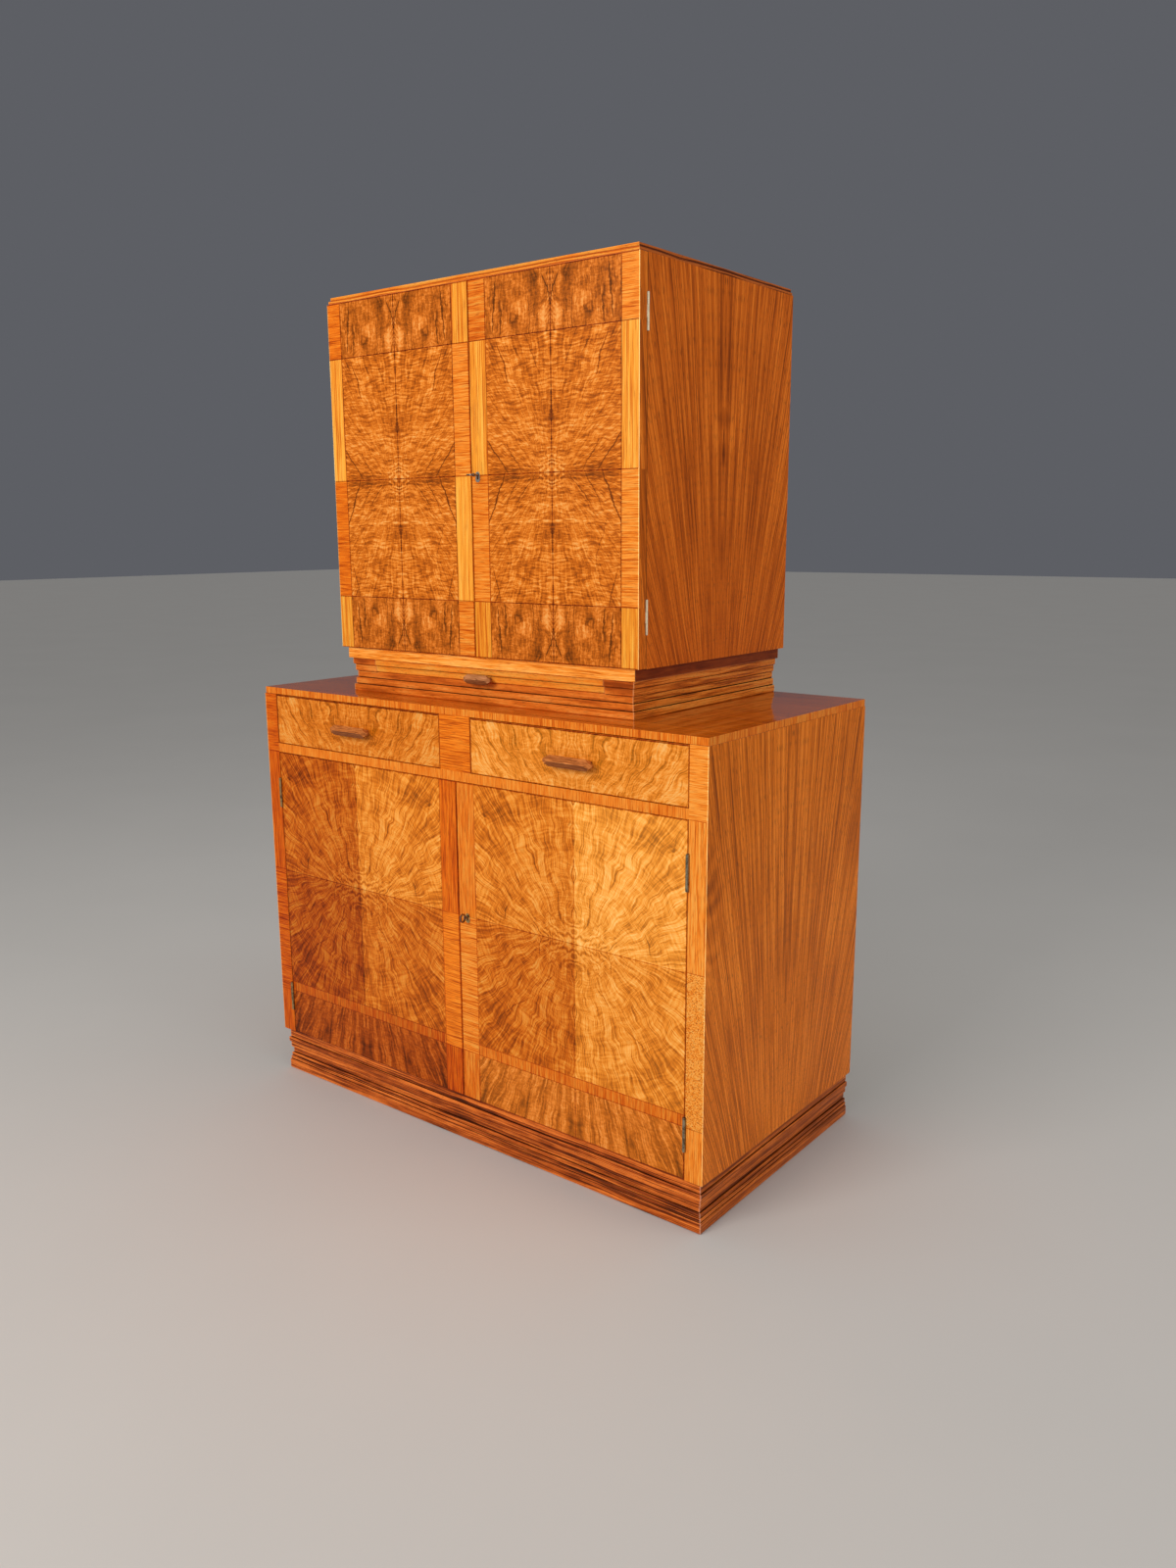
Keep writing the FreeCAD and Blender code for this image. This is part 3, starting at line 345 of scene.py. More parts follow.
# how to read a look: lengths are in metres, and a place is how far across and along
# fan: focus beside and below the match, reach. wander: width and length of the sway, its reach
# layers: width, length, detail, share, kind. colours: place on the ramp, colour
# marks: place, half width and length, gain. veins: place, lean, half length and width, gain
# eye: half width and length, pitch, lean, gain. curls: size, lines, place, half width and length, gain
fiddlebackLook = {
    "matched": "across along", "fan": (0.0, 0.022, 0.13), "wander": (0.045, 0.030, 0.007),
    "ruffle": (0.009, 0.0022),
    "layers": [(0.0016, 0.018, 3.5, 0.32, "flow"), (0.020, 0.0024, 2.5, 0.42, "flat"),
               (0.007, 0.04, 2.0, 0.20, "flow"), (0.011, 0.0055, 2.0, 0.14, "flat"),
               (0.05, 0.04, 2.0, 0.10, "flat")],
    "marks": [(0.072, 0.152, 0.034, 0.020, 0.08), (0.055, -0.120, 0.030, 0.022, 0.10),
              (0.0, 0.090, 0.030, 0.050, -0.03), (0.0, -0.098, 0.030, 0.018, -0.03),
              (0.0, 0.128, 0.030, 0.030, -0.08), (0.0, -0.125, 0.028, 0.046, -0.07),
              (0.0, -0.0065, 0.170, 0.0070, -0.16), (0.075, 0.008, 0.060, 0.010, -0.08),
              (0.0, -0.180, 0.034, 0.040, 0.05), (0.095, -0.002, 0.030, 0.018, -0.08),
              (0.070, -0.042, 0.024, 0.016, -0.08), (0.135, 0.190, 0.022, 0.060, -0.08),
              (0.0, 0.022, 0.030, 0.028, 0.07), (0.0, -0.022, 0.022, 0.034, 0.04),
              (0.0, -0.052, 0.110, 0.0020, 0.13), (0.0, -0.0775, 0.120, 0.0020, 0.15),
              (0.0, -0.0865, 0.050, 0.0018, 0.12), (0.03, 0.071, 0.080, 0.0020, 0.14),
              (0.05, 0.088, 0.060, 0.0018, 0.10)],
    "veins": [(0.122, 0.032, 0.80, 0.036, 0.0019, -0.46), (0.124, -0.042, -0.42, 0.050, 0.0020, -0.50),
              (0.082, 0.026, 0.62, 0.028, 0.0015, -0.28), (0.060, -0.028, -0.85, 0.030, 0.0016, -0.30),
              (0.040, 0.190, 0.50, 0.045, 0.0014, -0.20), (0.0, 0.12, 0.0, 0.12, 0.0012, -0.26),
              (0.0, -0.110, 0.0, 0.100, 0.0013, -0.20), (0.104, 0.180, 0.42, 0.05, 0.0016, -0.24),
              (0.070, 0.190, 0.60, 0.04, 0.0012, -0.16), (0.125, -0.190, 0.25, 0.04, 0.0015, -0.28),
              (0.088, -0.030, -0.55, 0.040, 0.0014, -0.26), (0.098, -0.120, 0.30, 0.060, 0.0014, -0.18)],
    "eye": (0.032, 0.052, 0.0074, 0.36, 0.15),
    "colours": [(0.18, (0.20, 0.044, 0.003)), (0.36, (0.44, 0.092, 0.004)), (0.50, (0.74, 0.172, 0.008)),
                (0.63, (1.0, 0.315, 0.036)), (0.82, (1.0, 0.50, 0.14))],
    "pores": 0.20}
sunburstLook = {
    "matched": "across along", "fan": (0.0, 0.050, 0.16), "wander": (0.055, 0.045, 0.015),
    "ruffle": (0.012, 0.0016),
    "layers": [(0.0016, 0.034, 3.5, 0.46, "flow"), (0.0070, 0.06, 2.5, 0.30, "flow"),
               (0.020, 0.0030, 2.5, 0.24, "flow"), (0.04, 0.04, 2.0, 0.18, "flat")],
    "marks": [(0.172, 0.205, 0.040, 0.030, -0.12), (0.170, -0.180, 0.040, 0.034, -0.12),
              (0.10, 0.12, 0.05, 0.06, 0.05), (0.215, -0.235, 0.02, 0.03, -0.10),
              (0.0, -0.035, 0.020, 0.030, -0.12), (0.0, -0.15, 0.018, 0.08, -0.10),
              (0.020, 0.0, 0.014, 0.012, 0.12)],
    "veins": [(0.0, 0.12, 0.0, 0.125, 0.0016, -0.24), (0.0, -0.12, 0.0, 0.12, 0.0014, -0.20),
              (0.078, 0.012, 0.9, 0.016, 0.0015, -0.34), (0.152, 0.030, -0.45, 0.020, 0.0014, -0.34),
              (0.075, -0.016, -0.6, 0.018, 0.0013, -0.28), (0.060, -0.080, -0.80, 0.045, 0.0018, -0.20),
              (0.200, 0.190, 0.35, 0.050, 0.0018, -0.16), (0.030, 0.060, 0.30, 0.055, 0.0020, -0.20),
              (0.100, 0.150, 0.70, 0.060, 0.0022, -0.18), (0.140, -0.150, -1.05, 0.050, 0.0022, -0.18)],
    "eye": (0.045, 0.030, 0.0080, -0.55, 0.06),
    "curls": [(0.026, 7.0, 0.02, 0.01, 0.08, 0.06, 0.12)],
    "colours": [(0.18, (0.24, 0.054, 0.003)), (0.36, (0.53, 0.112, 0.004)), (0.50, (0.81, 0.203, 0.010)),
                (0.64, (1.0, 0.345, 0.040)), (0.82, (1.0, 0.50, 0.12))],
    "pores": 0.30}
streakyLook = {
    "matched": "across", "wander": (0.026, 0.04, 0.008), "ruffle": (0.009, 0.0022),
    "layers": [(0.0020, 0.022, 3.0, 0.40, "flow"), (0.009, 0.04, 2.0, 0.26, "flow"),
               (0.011, 0.0040, 2.0, 0.28, "flat"), (0.022, 0.022, 2.0, 0.16, "flat")],
    "marks": [(0.014, -0.024, 0.012, 0.022, 0.22), (0.036, 0.022, 0.012, 0.050, -0.16),
              (0.080, -0.024, 0.013, 0.013, -0.22), (0.080, -0.022, 0.006, 0.006, 0.30),
              (0.040, 0.038, 0.018, 0.014, -0.12), (0.062, -0.010, 0.014, 0.022, 0.12),
              (0.105, 0.010, 0.016, 0.030, -0.08)],
    "veins": [(0.008, 0.012, 0.40, 0.032, 0.0015, -0.55), (0.124, 0.0, -0.08, 0.06, 0.0018, -0.34),
              (0.046, -0.02, 0.10, 0.04, 0.0014, -0.26), (0.108, -0.02, 0.05, 0.03, 0.0014, -0.34)],
    "eye": (0.020, 0.050, 0.0080, 1.3, 0.09),
    "colours": [(0.16, (0.15, 0.036, 0.002)), (0.36, (0.38, 0.084, 0.004)), (0.50, (0.63, 0.146, 0.008)),
                (0.64, (0.92, 0.260, 0.030)), (0.82, (1.0, 0.44, 0.11))],
    "pores": 0.20}
panelLook = dict(
    streakyLook, matched="across along", fan=(0.0, 0.06, 0.30), marks=(), veins=(),
    layers=[(0.0024, 0.044, 3.0, 0.42, "flow"), (0.012, 0.09, 2.0, 0.50, "flow"),
            (0.012, 0.0045, 2.0, 0.18, "flat")])
panelLook.pop("eye")
drawerLook = {
    "matched": "across", "fan": (0.004, 0.24, 0.22), "wander": (0.07, 0.05, 0.026),
    "ruffle": (0.012, 0.0018),
    "layers": [(0.0017, 0.026, 3.0, 0.42, "flow"), (0.011, 0.07, 2.0, 0.20, "flow"),
               (0.012, 0.0030, 2.0, 0.26, "flat"), (0.03, 0.03, 2.0, 0.16, "flat")],
    "veins": [(0.10, 0.05, 0.5, 0.06, 0.0040, -0.20), (0.17, 0.05, 0.7, 0.06, 0.0030, -0.20),
              (0.145, 0.06, 0.9, 0.03, 0.0013, -0.34), (0.060, 0.06, 0.35, 0.07, 0.0050, -0.16),
              (0.205, 0.04, 0.9, 0.04, 0.0012, -0.28)],
    "marks": [(0.13, 0.06, 0.03, 0.06, -0.09), (0.05, 0.05, 0.02, 0.05, -0.09),
              (0.20, 0.02, 0.02, 0.05, 0.08)],
    "colours": [(0.18, (0.34, 0.095, 0.004)), (0.36, (0.66, 0.165, 0.007)), (0.50, (0.91, 0.262, 0.021)),
                (0.63, (1.0, 0.390, 0.064)), (0.82, (1.0, 0.52, 0.15))],
    "pores": 0.25}
longLook = {
    "wander": (0.03, 0.09, 0.0008),
    "layers": [(0.0015, 0.12, 2.0, 0.76, "flow"), (0.005, 0.5, 1.0, 0.30, "flow")],
    "colours": [(0.20, (0.56, 0.095, 0.004)), (0.38, (0.84, 0.215, 0.010)), (0.55, (1.0, 0.365, 0.028)),
                (0.78, (1.0, 0.49, 0.07))],
    "poreColour": (0.44, 0.075, 0.004), "pores": 0.55, "poreSize": (0.0010, 0.030)}
crossLook = {
    "wander": (0.03, 0.04, 0.0010),
    "layers": [(0.0013, 0.050, 2.0, 0.66, "flow"), (0.0032, 0.09, 1.0, 0.26, "flow"),
               (0.014, 0.05, 1.0, 0.10, "flow")],
    "colours": [(0.20, (0.50, 0.066, 0.001)), (0.39, (0.84, 0.175, 0.006)), (0.54, (1.0, 0.280, 0.023)),
                (0.76, (1.0, 0.42, 0.065))],
    "poreColour": (0.30, 0.042, 0.002), "pores": 0.55, "poreSize": (0.0009, 0.018)}
redCrossLook = dict(
    crossLook, colours=[(0.20, (0.36, 0.036, 0.001)), (0.39, (0.66, 0.110, 0.002)),
                        (0.54, (0.90, 0.178, 0.005)), (0.76, (1.0, 0.275, 0.016))])
speckledLook = dict(
    crossLook, layers=[(0.0020, 0.0026, 2.0, 0.66, "flow"), (0.010, 0.02, 1.5, 0.14, "flow")],
    pores=0.85, poreSize=(0.0013, 0.0018),
    colours=[(0.22, (0.56, 0.095, 0.003)), (0.40, (0.88, 0.220, 0.011)), (0.54, (1.0, 0.34, 0.036)),
             (0.74, (1.0, 0.47, 0.10))])
sideLook = {
    "matched": "across", "wander": (0.10, 0.24, 0.005),
    "layers": [(0.0016, 0.14, 3.0, 0.50, "flow"), (0.0060, 0.35, 1.5, 0.32, "flow"),
               (0.09, 0.16, 2.0, 0.10, "flat")],
    "colours": [(0.18, (0.18, 0.030, 0.001)), (0.38, (0.46, 0.082, 0.001)), (0.52, (0.72, 0.140, 0.003)),
                (0.70, (1.0, 0.245, 0.016))],
    "poreColour": (0.11, 0.018, 0.001), "pores": 0.65, "poreSize": (0.0010, 0.014),
    "roughness": (0.30, 0.46)}
upperSideLook = dict(
    sideLook, fan=(0.004, 0.40, 0.7),
    marks=[(0.0, 0.406, 0.018, 0.022, -0.16), (0.0, 0.381, 0.0035, 0.012, -0.34),
           (0.0, 0.3515, 0.007, 0.030, -0.28), (0.024, 0.378, 0.012, 0.030, 0.12),
           (0.0, 0.27, 0.030, 0.075, 0.08), (0.0, 0.49, 0.035, 0.07, -0.06)],
    veins=[(0.0, 0.50, 0.0, 0.12, 0.0014, -0.14), (0.0, 0.20, 0.0, 0.20, 0.0010, -0.08)])
lowerSideLook = dict(
    sideLook, fan=(0.004, 0.50, 0.9), curls=[(0.16, 16.0, -0.27, 0.46, 0.07, 0.13, 0.09)],
    veins=[(0.0, 0.36, 0.0, 0.37, 0.0014, -0.10)],
    marks=[(0.02, 0.10, 0.06, 0.20, 0.06), (0.22, 0.56, 0.08, 0.20, -0.05)])
topLook = dict(
    sideLook, matched="", roughness=(0.10, 0.20), coat=0.65, coatRoughness=0.04, shine=0.06, pores=0.35,
    relief=0.05, colours=[(0.22, (0.18, 0.027, 0.001)), (0.40, (0.36, 0.064, 0.001)),
                          (0.54, (0.52, 0.100, 0.002)), (0.76, (0.74, 0.155, 0.006))])
capTopLook = dict(topLook, roughness=(0.34, 0.50), coat=0.04, coatRoughness=0.30)  # seldom polished
backLook = dict(
    sideLook, matched="", coat=0.0, roughness=(0.45, 0.6),
    colours=[(0.2, (0.30, 0.10, 0.03)), (0.5, (0.48, 0.18, 0.055)), (0.8, (0.62, 0.27, 0.10))])

plinthLook = {
    "cut": "X", "wander": (0.05, 0.12, 0.004),
    "layers": [(0.0024, 0.08, 2.0, 0.26, "flow"), (0.009, 0.16, 1.5, 0.24, "flow"),
               (0.012, 0.05, 2.0, 0.26, "flow")],
    "marks": [(0.885, 0.322, 0.017, 0.066, -0.26), (0.893, -0.322, 0.010, 0.066, -0.26),
              (0.866, -0.05, 0.008, 0.34, -0.10), (0.8525, 0.0, 0.007, 0.45, 0.08)],
    "colours": [(0.20, (0.34, 0.056, 0.003)), (0.38, (0.62, 0.122, 0.009)), (0.52, (0.86, 0.205, 0.018)),
                (0.70, (1.0, 0.34, 0.055))],
    "pores": 0.45, "roughness": (0.24, 0.42), "coat": 0.05,
    # grooves darken with dirt and painted shade, arrises lighten with wear and a painted highlight
    "dirtAndShadeReach": 0.007, "dirtAndShadeColour": (0.085, 0.014, 0.003), "wearAndHighlightReach": 0.0016, "wearAndHighlightShare": 0.9,
    "wearAndHighlightColour": (1.0, 0.46, 0.17)}
plinthSideLook = dict(
    plinthLook, cut="Y", marks=(), dirtAndShadeReach=0.010, dirtAndShadeColour=(0.020, 0.004, 0.001),
    layers=[(0.0018, 0.09, 2.5, 0.60, "flow"), (0.007, 0.20, 1.5, 0.34, "flow")],
    colours=[(0.22, (0.26, 0.045, 0.003)), (0.42, (0.66, 0.150, 0.010)), (0.54, (0.95, 0.260, 0.024)),
             (0.70, (1.0, 0.38, 0.06))])
baseLook = dict(
    plinthLook, marks=(), wearAndHighlightColour=(0.90, 0.46, 0.30), dirtAndShadeColour=(0.050, 0.008, 0.002), dirtAndShadeReach=0.009,
    layers=[(0.0022, 0.30, 2.5, 0.70, "flow"), (0.008, 0.30, 1.5, 0.34, "flow"),
            (0.012, 0.05, 2.0, 0.20, "flow")],
    colours=[(0.22, (0.06, 0.010, 0.001)), (0.39, (0.27, 0.042, 0.004)), (0.52, (0.58, 0.108, 0.011)),
             (0.68, (1.0, 0.250, 0.036))])
baseSideLook = dict(
    baseLook, cut="Y", colours=[(0.20, (0.14, 0.024, 0.002)), (0.38, (0.36, 0.066, 0.004)),
                                (0.52, (0.54, 0.108, 0.008)), (0.70, (0.86, 0.210, 0.024))])
friezeSideLook = dict(
    plinthLook, cut="Y", marks=(), colours=[(0.22, (0.10, 0.014, 0.001)), (0.45, (0.24, 0.036, 0.003)),
                                            (0.75, (0.42, 0.08, 0.008))])
paleLook = dict(
    plinthLook, marks=(), dirtAndShadeReach=0.009, colours=[(0.22, (0.66, 0.125, 0.006)), (0.40, (0.98, 0.265, 0.018)),
                                                (0.56, (1.0, 0.365, 0.040)), (0.78, (1.0, 0.48, 0.09))])
corniceLook = dict(
    # the marks paint shade under the steps of the moulding and a highlight near its top
    paleLook, marks=[(1.5603, 0.0, 0.0018, 9.0, -1.2), (1.5553, 0.0, 0.0014, 9.0, -0.9),
                     (1.5663, 0.0, 0.0012, 9.0, 0.14)])
corniceSideLook = dict(
    plinthLook, cut="Y", dirtAndShadeReach=0.012,
    # the marks paint highlights on the steps and shade in the grooves between them
    marks=[(1.5651, 0.0, 0.0012, 9.0, 0.40), (1.5625, 0.0, 0.0016, 9.0, -0.60),
           (1.5606, 0.0, 0.0009, 9.0, -0.40), (1.5580, 0.0, 0.0017, 9.0, 0.50),
           (1.5553, 0.0, 0.0010, 9.0, -0.60)],
    colours=[(0.22, (0.14, 0.026, 0.002)), (0.45, (0.34, 0.066, 0.006)), (0.75, (0.60, 0.140, 0.018))])
handleLook = {
    "cut": "X", "wander": (0.02, 0.03, 0.002),
    "layers": [(0.0014, 0.03, 2.0, 0.40, "flow"), (0.006, 0.04, 1.5, 0.26, "flow")],
    "colours": [(0.24, (0.20, 0.042, 0.006)), (0.44, (0.42, 0.110, 0.019)), (0.60, (0.62, 0.185, 0.038)),
                (0.80, (0.85, 0.31, 0.08))],
    "poreColour": (0.05, 0.011, 0.003), "pores": 0.6, "roughness": (0.30, 0.5), "coat": 0.1,
    # the handles' downward facets get painted shade, their grooves dirt with painted shade, their arrises
    # wear with a painted highlight
    "dirtAndShadeReach": 0.007, "dirtAndShadeColour": (0.070, 0.014, 0.005), "paintedUndershade": 0.50,
    "wearAndHighlightReach": 0.0014, "wearAndHighlightShare": 0.8, "wearAndHighlightColour": (0.92, 0.42, 0.15)}
slideHandleLook = dict(
    handleLook, colours=[(0.24, (0.20, 0.065, 0.016)), (0.44, (0.42, 0.150, 0.045)),
                         (0.60, (0.60, 0.235, 0.090)), (0.80, (0.80, 0.38, 0.17))])
innerLook = {
    "cut": "X", "wander": (0.10, 0.15, 0.006),
    "layers": [(0.004, 0.25, 2.0, 0.22, "flow"), (0.03, 0.5, 1.0, 0.20, "flow")],
    "colours": [(0.25, (0.40, 0.22, 0.10)), (0.5, (0.56, 0.33, 0.165)), (0.78, (0.70, 0.45, 0.25))],
    "poreColour": (0.25, 0.12, 0.05), "pores": 0.25, "roughness": (0.5, 0.7), "shine": 0.25,
    "coat": 0.0, "relief": 0.15}
plyLook = dict(innerLook, colours=[(0.25, (0.44, 0.27, 0.13)), (0.5, (0.58, 0.38, 0.20)),
                                   (0.78, (0.70, 0.49, 0.29))])

woodLooks = {
    "fiddleback": ("fiddlebackWalnut", fiddlebackLook),
    "sunburst": ("sunburstWalnut", sunburstLook),
    "streaky": ("streakyWalnut", streakyLook),
    "panel": ("lowPanelWalnut", panelLook),
    "drawer": ("drawerWalnut", drawerLook),
    "long": ("longGrainWalnut", longLook),
    "cross": ("crossGrainWalnut", crossLook),
    "redCross": ("redCrossGrainWalnut", redCrossLook),
    "speckled": ("speckledWalnut", speckledLook),
    "upperSide": ("upperSideWalnut", upperSideLook),
    "lowerSide": ("lowerSideWalnut", lowerSideLook),
    "top": ("topWalnut", topLook),
    "capTop": ("capTopWalnut", capTopLook),
    "back": ("doorBackWalnut", backLook),
    "plinthX": ("plinthWalnutX", plinthLook),
    "plinthY": ("plinthWalnutY", plinthSideLook),
    "baseX": ("baseWalnutX", baseLook),
    "baseY": ("baseWalnutY", baseSideLook),
    "friezeY": ("friezeSideWalnut", friezeSideLook),
    "pale": ("paleMoulding", paleLook),
    "cornice": ("corniceWalnut", corniceLook),
    "corniceSide": ("corniceSideWalnut", corniceSideLook),
    "handle": ("handleWood", handleLook),
    "slideHandle": ("slideHandleWood", slideHandleLook),
    "innerX": ("innerWoodX", innerLook),
    "innerY": ("innerWoodY", dict(innerLook, cut="Y")),
    "ply": ("plywood", plyLook),
    "plyZ": ("plywoodZ", dict(plyLook, cut="Z"))}
woods = {finish: makeWood(name, look) for finish, (name, look) in woodLooks.items()}
print("woods made")


# metals: bright where clean, dull in patches of tarnish
metalSurface = {"patchSize": (0.006, 0.006, 0.009), "speckSize": (0.0012, 0.0012, 0.0012), "tarnishSpan": 0.2,
                "relief": 0.15, "reliefDepth": 0.0002}


def metalPatches(tree, place):
    return noise(tree, place, metalSurface["patchSize"], detail=3.0, roughness=0.6, shift=shiftOf["patches"])


def makeMetal(name, look):
    material, tree, shader = newMaterial(name)
    place = objectPlace(tree)
    patches = metalPatches(tree, place)
    specks = noise(tree, place, metalSurface["speckSize"], detail=2.0, roughness=0.6, shift=shiftOf["specks"])
    tarnish = ramp(tree, patches, [(look["clean"], 0.0), (look["clean"] + metalSurface["tarnishSpan"], 1.0)])
    colour = blendColour(tree, tarnish, look["bright"], look["dull"])
    shader.inputs["Metallic"].default_value = 1.0
    tree.links.new(colour, shader.inputs["Base Color"])
    low, high = look["roughness"]
    tree.links.new(calc(tree, "MULTIPLY_ADD", patches, high - low, low), shader.inputs["Roughness"])
    height = calc(tree, "ADD", specks, patches)
    bump(tree, shader, height, metalSurface["relief"], metalSurface["reliefDepth"])
    return material


metals = {
    "nickel": makeMetal("wornNickel", {"bright": (0.83, 0.78, 0.66), "dull": (0.40, 0.32, 0.22),
                                       "clean": 0.55, "roughness": (0.18, 0.45)}),
    "brass": makeMetal("wornBrass", {"bright": (0.72, 0.50, 0.20), "dull": (0.22, 0.13, 0.06),
                                     "clean": 0.45, "roughness": (0.25, 0.55)}),
    "steel": makeMetal("keySteel", {"bright": (0.30, 0.24, 0.20), "dull": (0.08, 0.055, 0.04),
                                    "clean": 0.5, "roughness": (0.25, 0.5)})}

# the upper hinges are bright and nearly cream, a painted highlight, the lower ones dull
hingeLook = {"upperFrom": 0.9, "upper": (1.0, 0.90, 0.62), "lowerLeft": (0.50, 0.36, 0.16),
             "lowerRight": (0.40, 0.36, 0.25), "upperDull": (0.80, 0.69, 0.47),
             "lowerDull": (0.15, 0.125, 0.085), "tarnishRamp": [(0.48, 0.0), (0.66, 1.0)],
             "lessMetallic": 0.8, "smoothest": 0.30, "roughSpan": 0.3}


def makeHingeMetal():
    look = hingeLook
    material, tree, shader = newMaterial("hingeMetals")
    place = objectPlace(tree)
    where = unpack(tree, place)
    isUpper = calc(tree, "GREATER_THAN", where[2], look["upperFrom"])
    isRight = calc(tree, "GREATER_THAN", where[0], 0.0)
    patches = metalPatches(tree, place)
    lower = blendColour(tree, isRight, look["lowerLeft"], look["lowerRight"])
    # the upper hinges' bright cream is a painted highlight
    bright = blendColour(tree, isUpper, lower, look["upper"])
    dull = blendColour(tree, isUpper, look["lowerDull"], look["upperDull"])
    tarnish = ramp(tree, patches, look["tarnishRamp"])
    metallic = calc(tree, "MULTIPLY_ADD", isUpper, -look["lessMetallic"], 1.0)
    tree.links.new(metallic, shader.inputs["Metallic"])
    tree.links.new(blendColour(tree, tarnish, bright, dull), shader.inputs["Base Color"])
    rough = calc(tree, "MULTIPLY_ADD", patches, look["roughSpan"], look["smoothest"])
    tree.links.new(rough, shader.inputs["Roughness"])
    bump(tree, shader, patches, metalSurface["relief"], metalSurface["reliefDepth"])
    return material


metals["hinges"] = makeHingeMetal()
print("metals made")


# veneer: a copy of a part's surface is cut along the joints and each leaf gets its map
jointLook = {"width": 0.0017, "tone": -0.72}
# the dark and deep rims are painted shade in the gaps round a panel; the worn rim is a rubbed arris with a
# painted highlight
rimLook = {"dark": (0.0015, -0.55), "deep": (0.0026, -0.80), "worn": (0.0013, 0.50)}  # width, tone
cutLook = {"merge": 2e-6, "cut": 1e-7, "flatAngle": math.radians(0.05), "smoothAngle": math.radians(25)}
mapAxes = ((1, 2), (0, 2), (0, 1))  # the map's axes on a face that looks along x, y or z
# limits of a normal's share: square to an axis, sideways, towards the front, and flat on the front
facing = {"square": 0.7, "sideways": 0.5, "front": -0.3, "flat": -0.98}
frontDepth = 0.001  # a front's own faces lie no further back than this
edgeTones = {"lipping": 0.06, "sideFront": -0.2, "plain": -0.2, "worktop": -0.05}
# painted shade along all four edges of a panel
darkRims = {"left": "dark", "right": "dark", "low": "dark", "high": "dark"}
signOf = {"left": -1, "right": 1}


def cutInLeaves(bm, cuts, joints):  # a joint line is cut on both its sides
    half = jointLook["width"] / 2
    for axis, place in cuts + [(axis, place + side) for axis, place in joints for side in (-half, half)]:
        normal = Vector([1.0 if i == axis else 0.0 for i in range(3)])
        bmesh.ops.bisect_plane(bm, geom=bm.verts[:] + bm.edges[:] + bm.faces[:], dist=cutLook["cut"],
                               plane_co=normal * place, plane_no=normal)


def panelEdges(low, high):  # the axis, place and way inwards of each
    return {"left": (0, low.x, 1), "right": (0, high.x, -1), "low": (2, low.z, 1), "high": (2, high.z, -1)}


def rimPlaces(edges, rims):
    places = []
    for edge, kind in rims.items():
        axis, place, way = edges[edge]
        places.append((axis, place + way * rimLook[kind][0]))
    return places


def lineTone(centre, normal, edges, joints, rims, seam):  # glue lines, painted shade at the rims, rubbed arrises with a painted highlight
    if normal.y > facing["front"]:
        return 0.0
    for edge, kind in rims.items():
        axis, place, way = edges[edge]
        width, tone = rimLook[kind]
        if way * (centre[axis] - place) < width:
            return tone
    isJoint = any(abs(centre[axis] - place) < jointLook["width"] / 2 for axis, place in joints)
    return seam * jointLook["tone"] if isJoint else 0.0


def mapLeaf(face, leaf, leafMap):
    across, along = leaf.get("middle", (0.0, 0.0))
    first, second = mapAxes[max(range(3), key=lambda i: abs(face.normal[i]))]
    turn = -1 if leaf.get("isUpsideDown") else 1
    for loop in face.loops:
        place = (loop.vert.co[first] - across, turn * (loop.vert.co[second] - along))
        loop[leafMap].uv = place if leaf.get("grain", "up") == "up" else place[::-1]


def veneer(node, choose, joints=(), rims=None, seam=1.0, cuts=()):
    edges = panelEdges(*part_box(node))
    rims = rims or {}
    bm = bmesh.new()
    bm.from_mesh(nodes[node].data)
    bmesh.ops.remove_doubles(bm, verts=bm.verts, dist=cutLook["merge"])
    bmesh.ops.dissolve_limit(bm, angle_limit=cutLook["flatAngle"], verts=bm.verts, edges=bm.edges)
    cutInLeaves(bm, [*cuts, *rimPlaces(edges, rims)], joints)
    leafMap = bm.loops.layers.uv.new("leaf")
    toneLayer = bm.faces.layers.float.new("tone")
    numberLayer = bm.faces.layers.float.new("leafNumber")
    finishes = []
    for face in bm.faces:
        centre = face.calc_center_median()
        leaf = choose(centre, face.normal)
        if leaf["wood"] not in finishes:
            finishes.append(leaf["wood"])
        face.material_index = finishes.index(leaf["wood"])
        line = lineTone(centre, face.normal, edges, joints, rims, seam)
        face[toneLayer] = leaf.get("tone", 0.0) + line
        face[numberLayer] = leaf.get("number", 0)
        mapLeaf(face, leaf, leafMap)
        face.smooth = True
    for edge in bm.edges:
        edge.smooth = len(edge.link_faces) == 2 and edge.calc_face_angle(0.0) < cutLook["smoothAngle"]
    mesh = bpy.data.meshes.new(node + "Veneered")
    bm.to_mesh(mesh)
    bm.free()
    for finish in finishes:
        mesh.materials.append(woods[finish])
    piece = bpy.data.objects.new(node + "Veneered", mesh)
    bpy.context.scene.collection.objects.link(piece)
    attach(piece, bodyOf[node])
    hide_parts(node)


def edgeLeaf(normal, number):  # lippings round a panel's edges
    grain = "up" if abs(normal.x) > facing["sideways"] else "level"
    return {"wood": "lowerSide", "grain": grain, "tone": edgeTones["lipping"], "number": number}


def hiddenLeaf(normal, edgeNumber, backNumber):  # a door's leaf anywhere but on its front
    if normal.y > facing["square"]:
        return {"wood": "back", "number": backNumber}
    if normal.y > facing["front"]:
        return edgeLeaf(normal, edgeNumber)
    return {"wood": "back", "number": backNumber + 1}


# band widths, heights of the joints, tone of the painted highlight on the eased arrises, first leaf number of
# the bands
upperDoorLook = {"outerBand": 0.0345, "innerBand": 0.0385, "joints": (1.018, 1.2345, 1.456),
                 "easedHighlight": 0.12, "number": {"left": 11, "right": 5}, "outerNumber": 20}
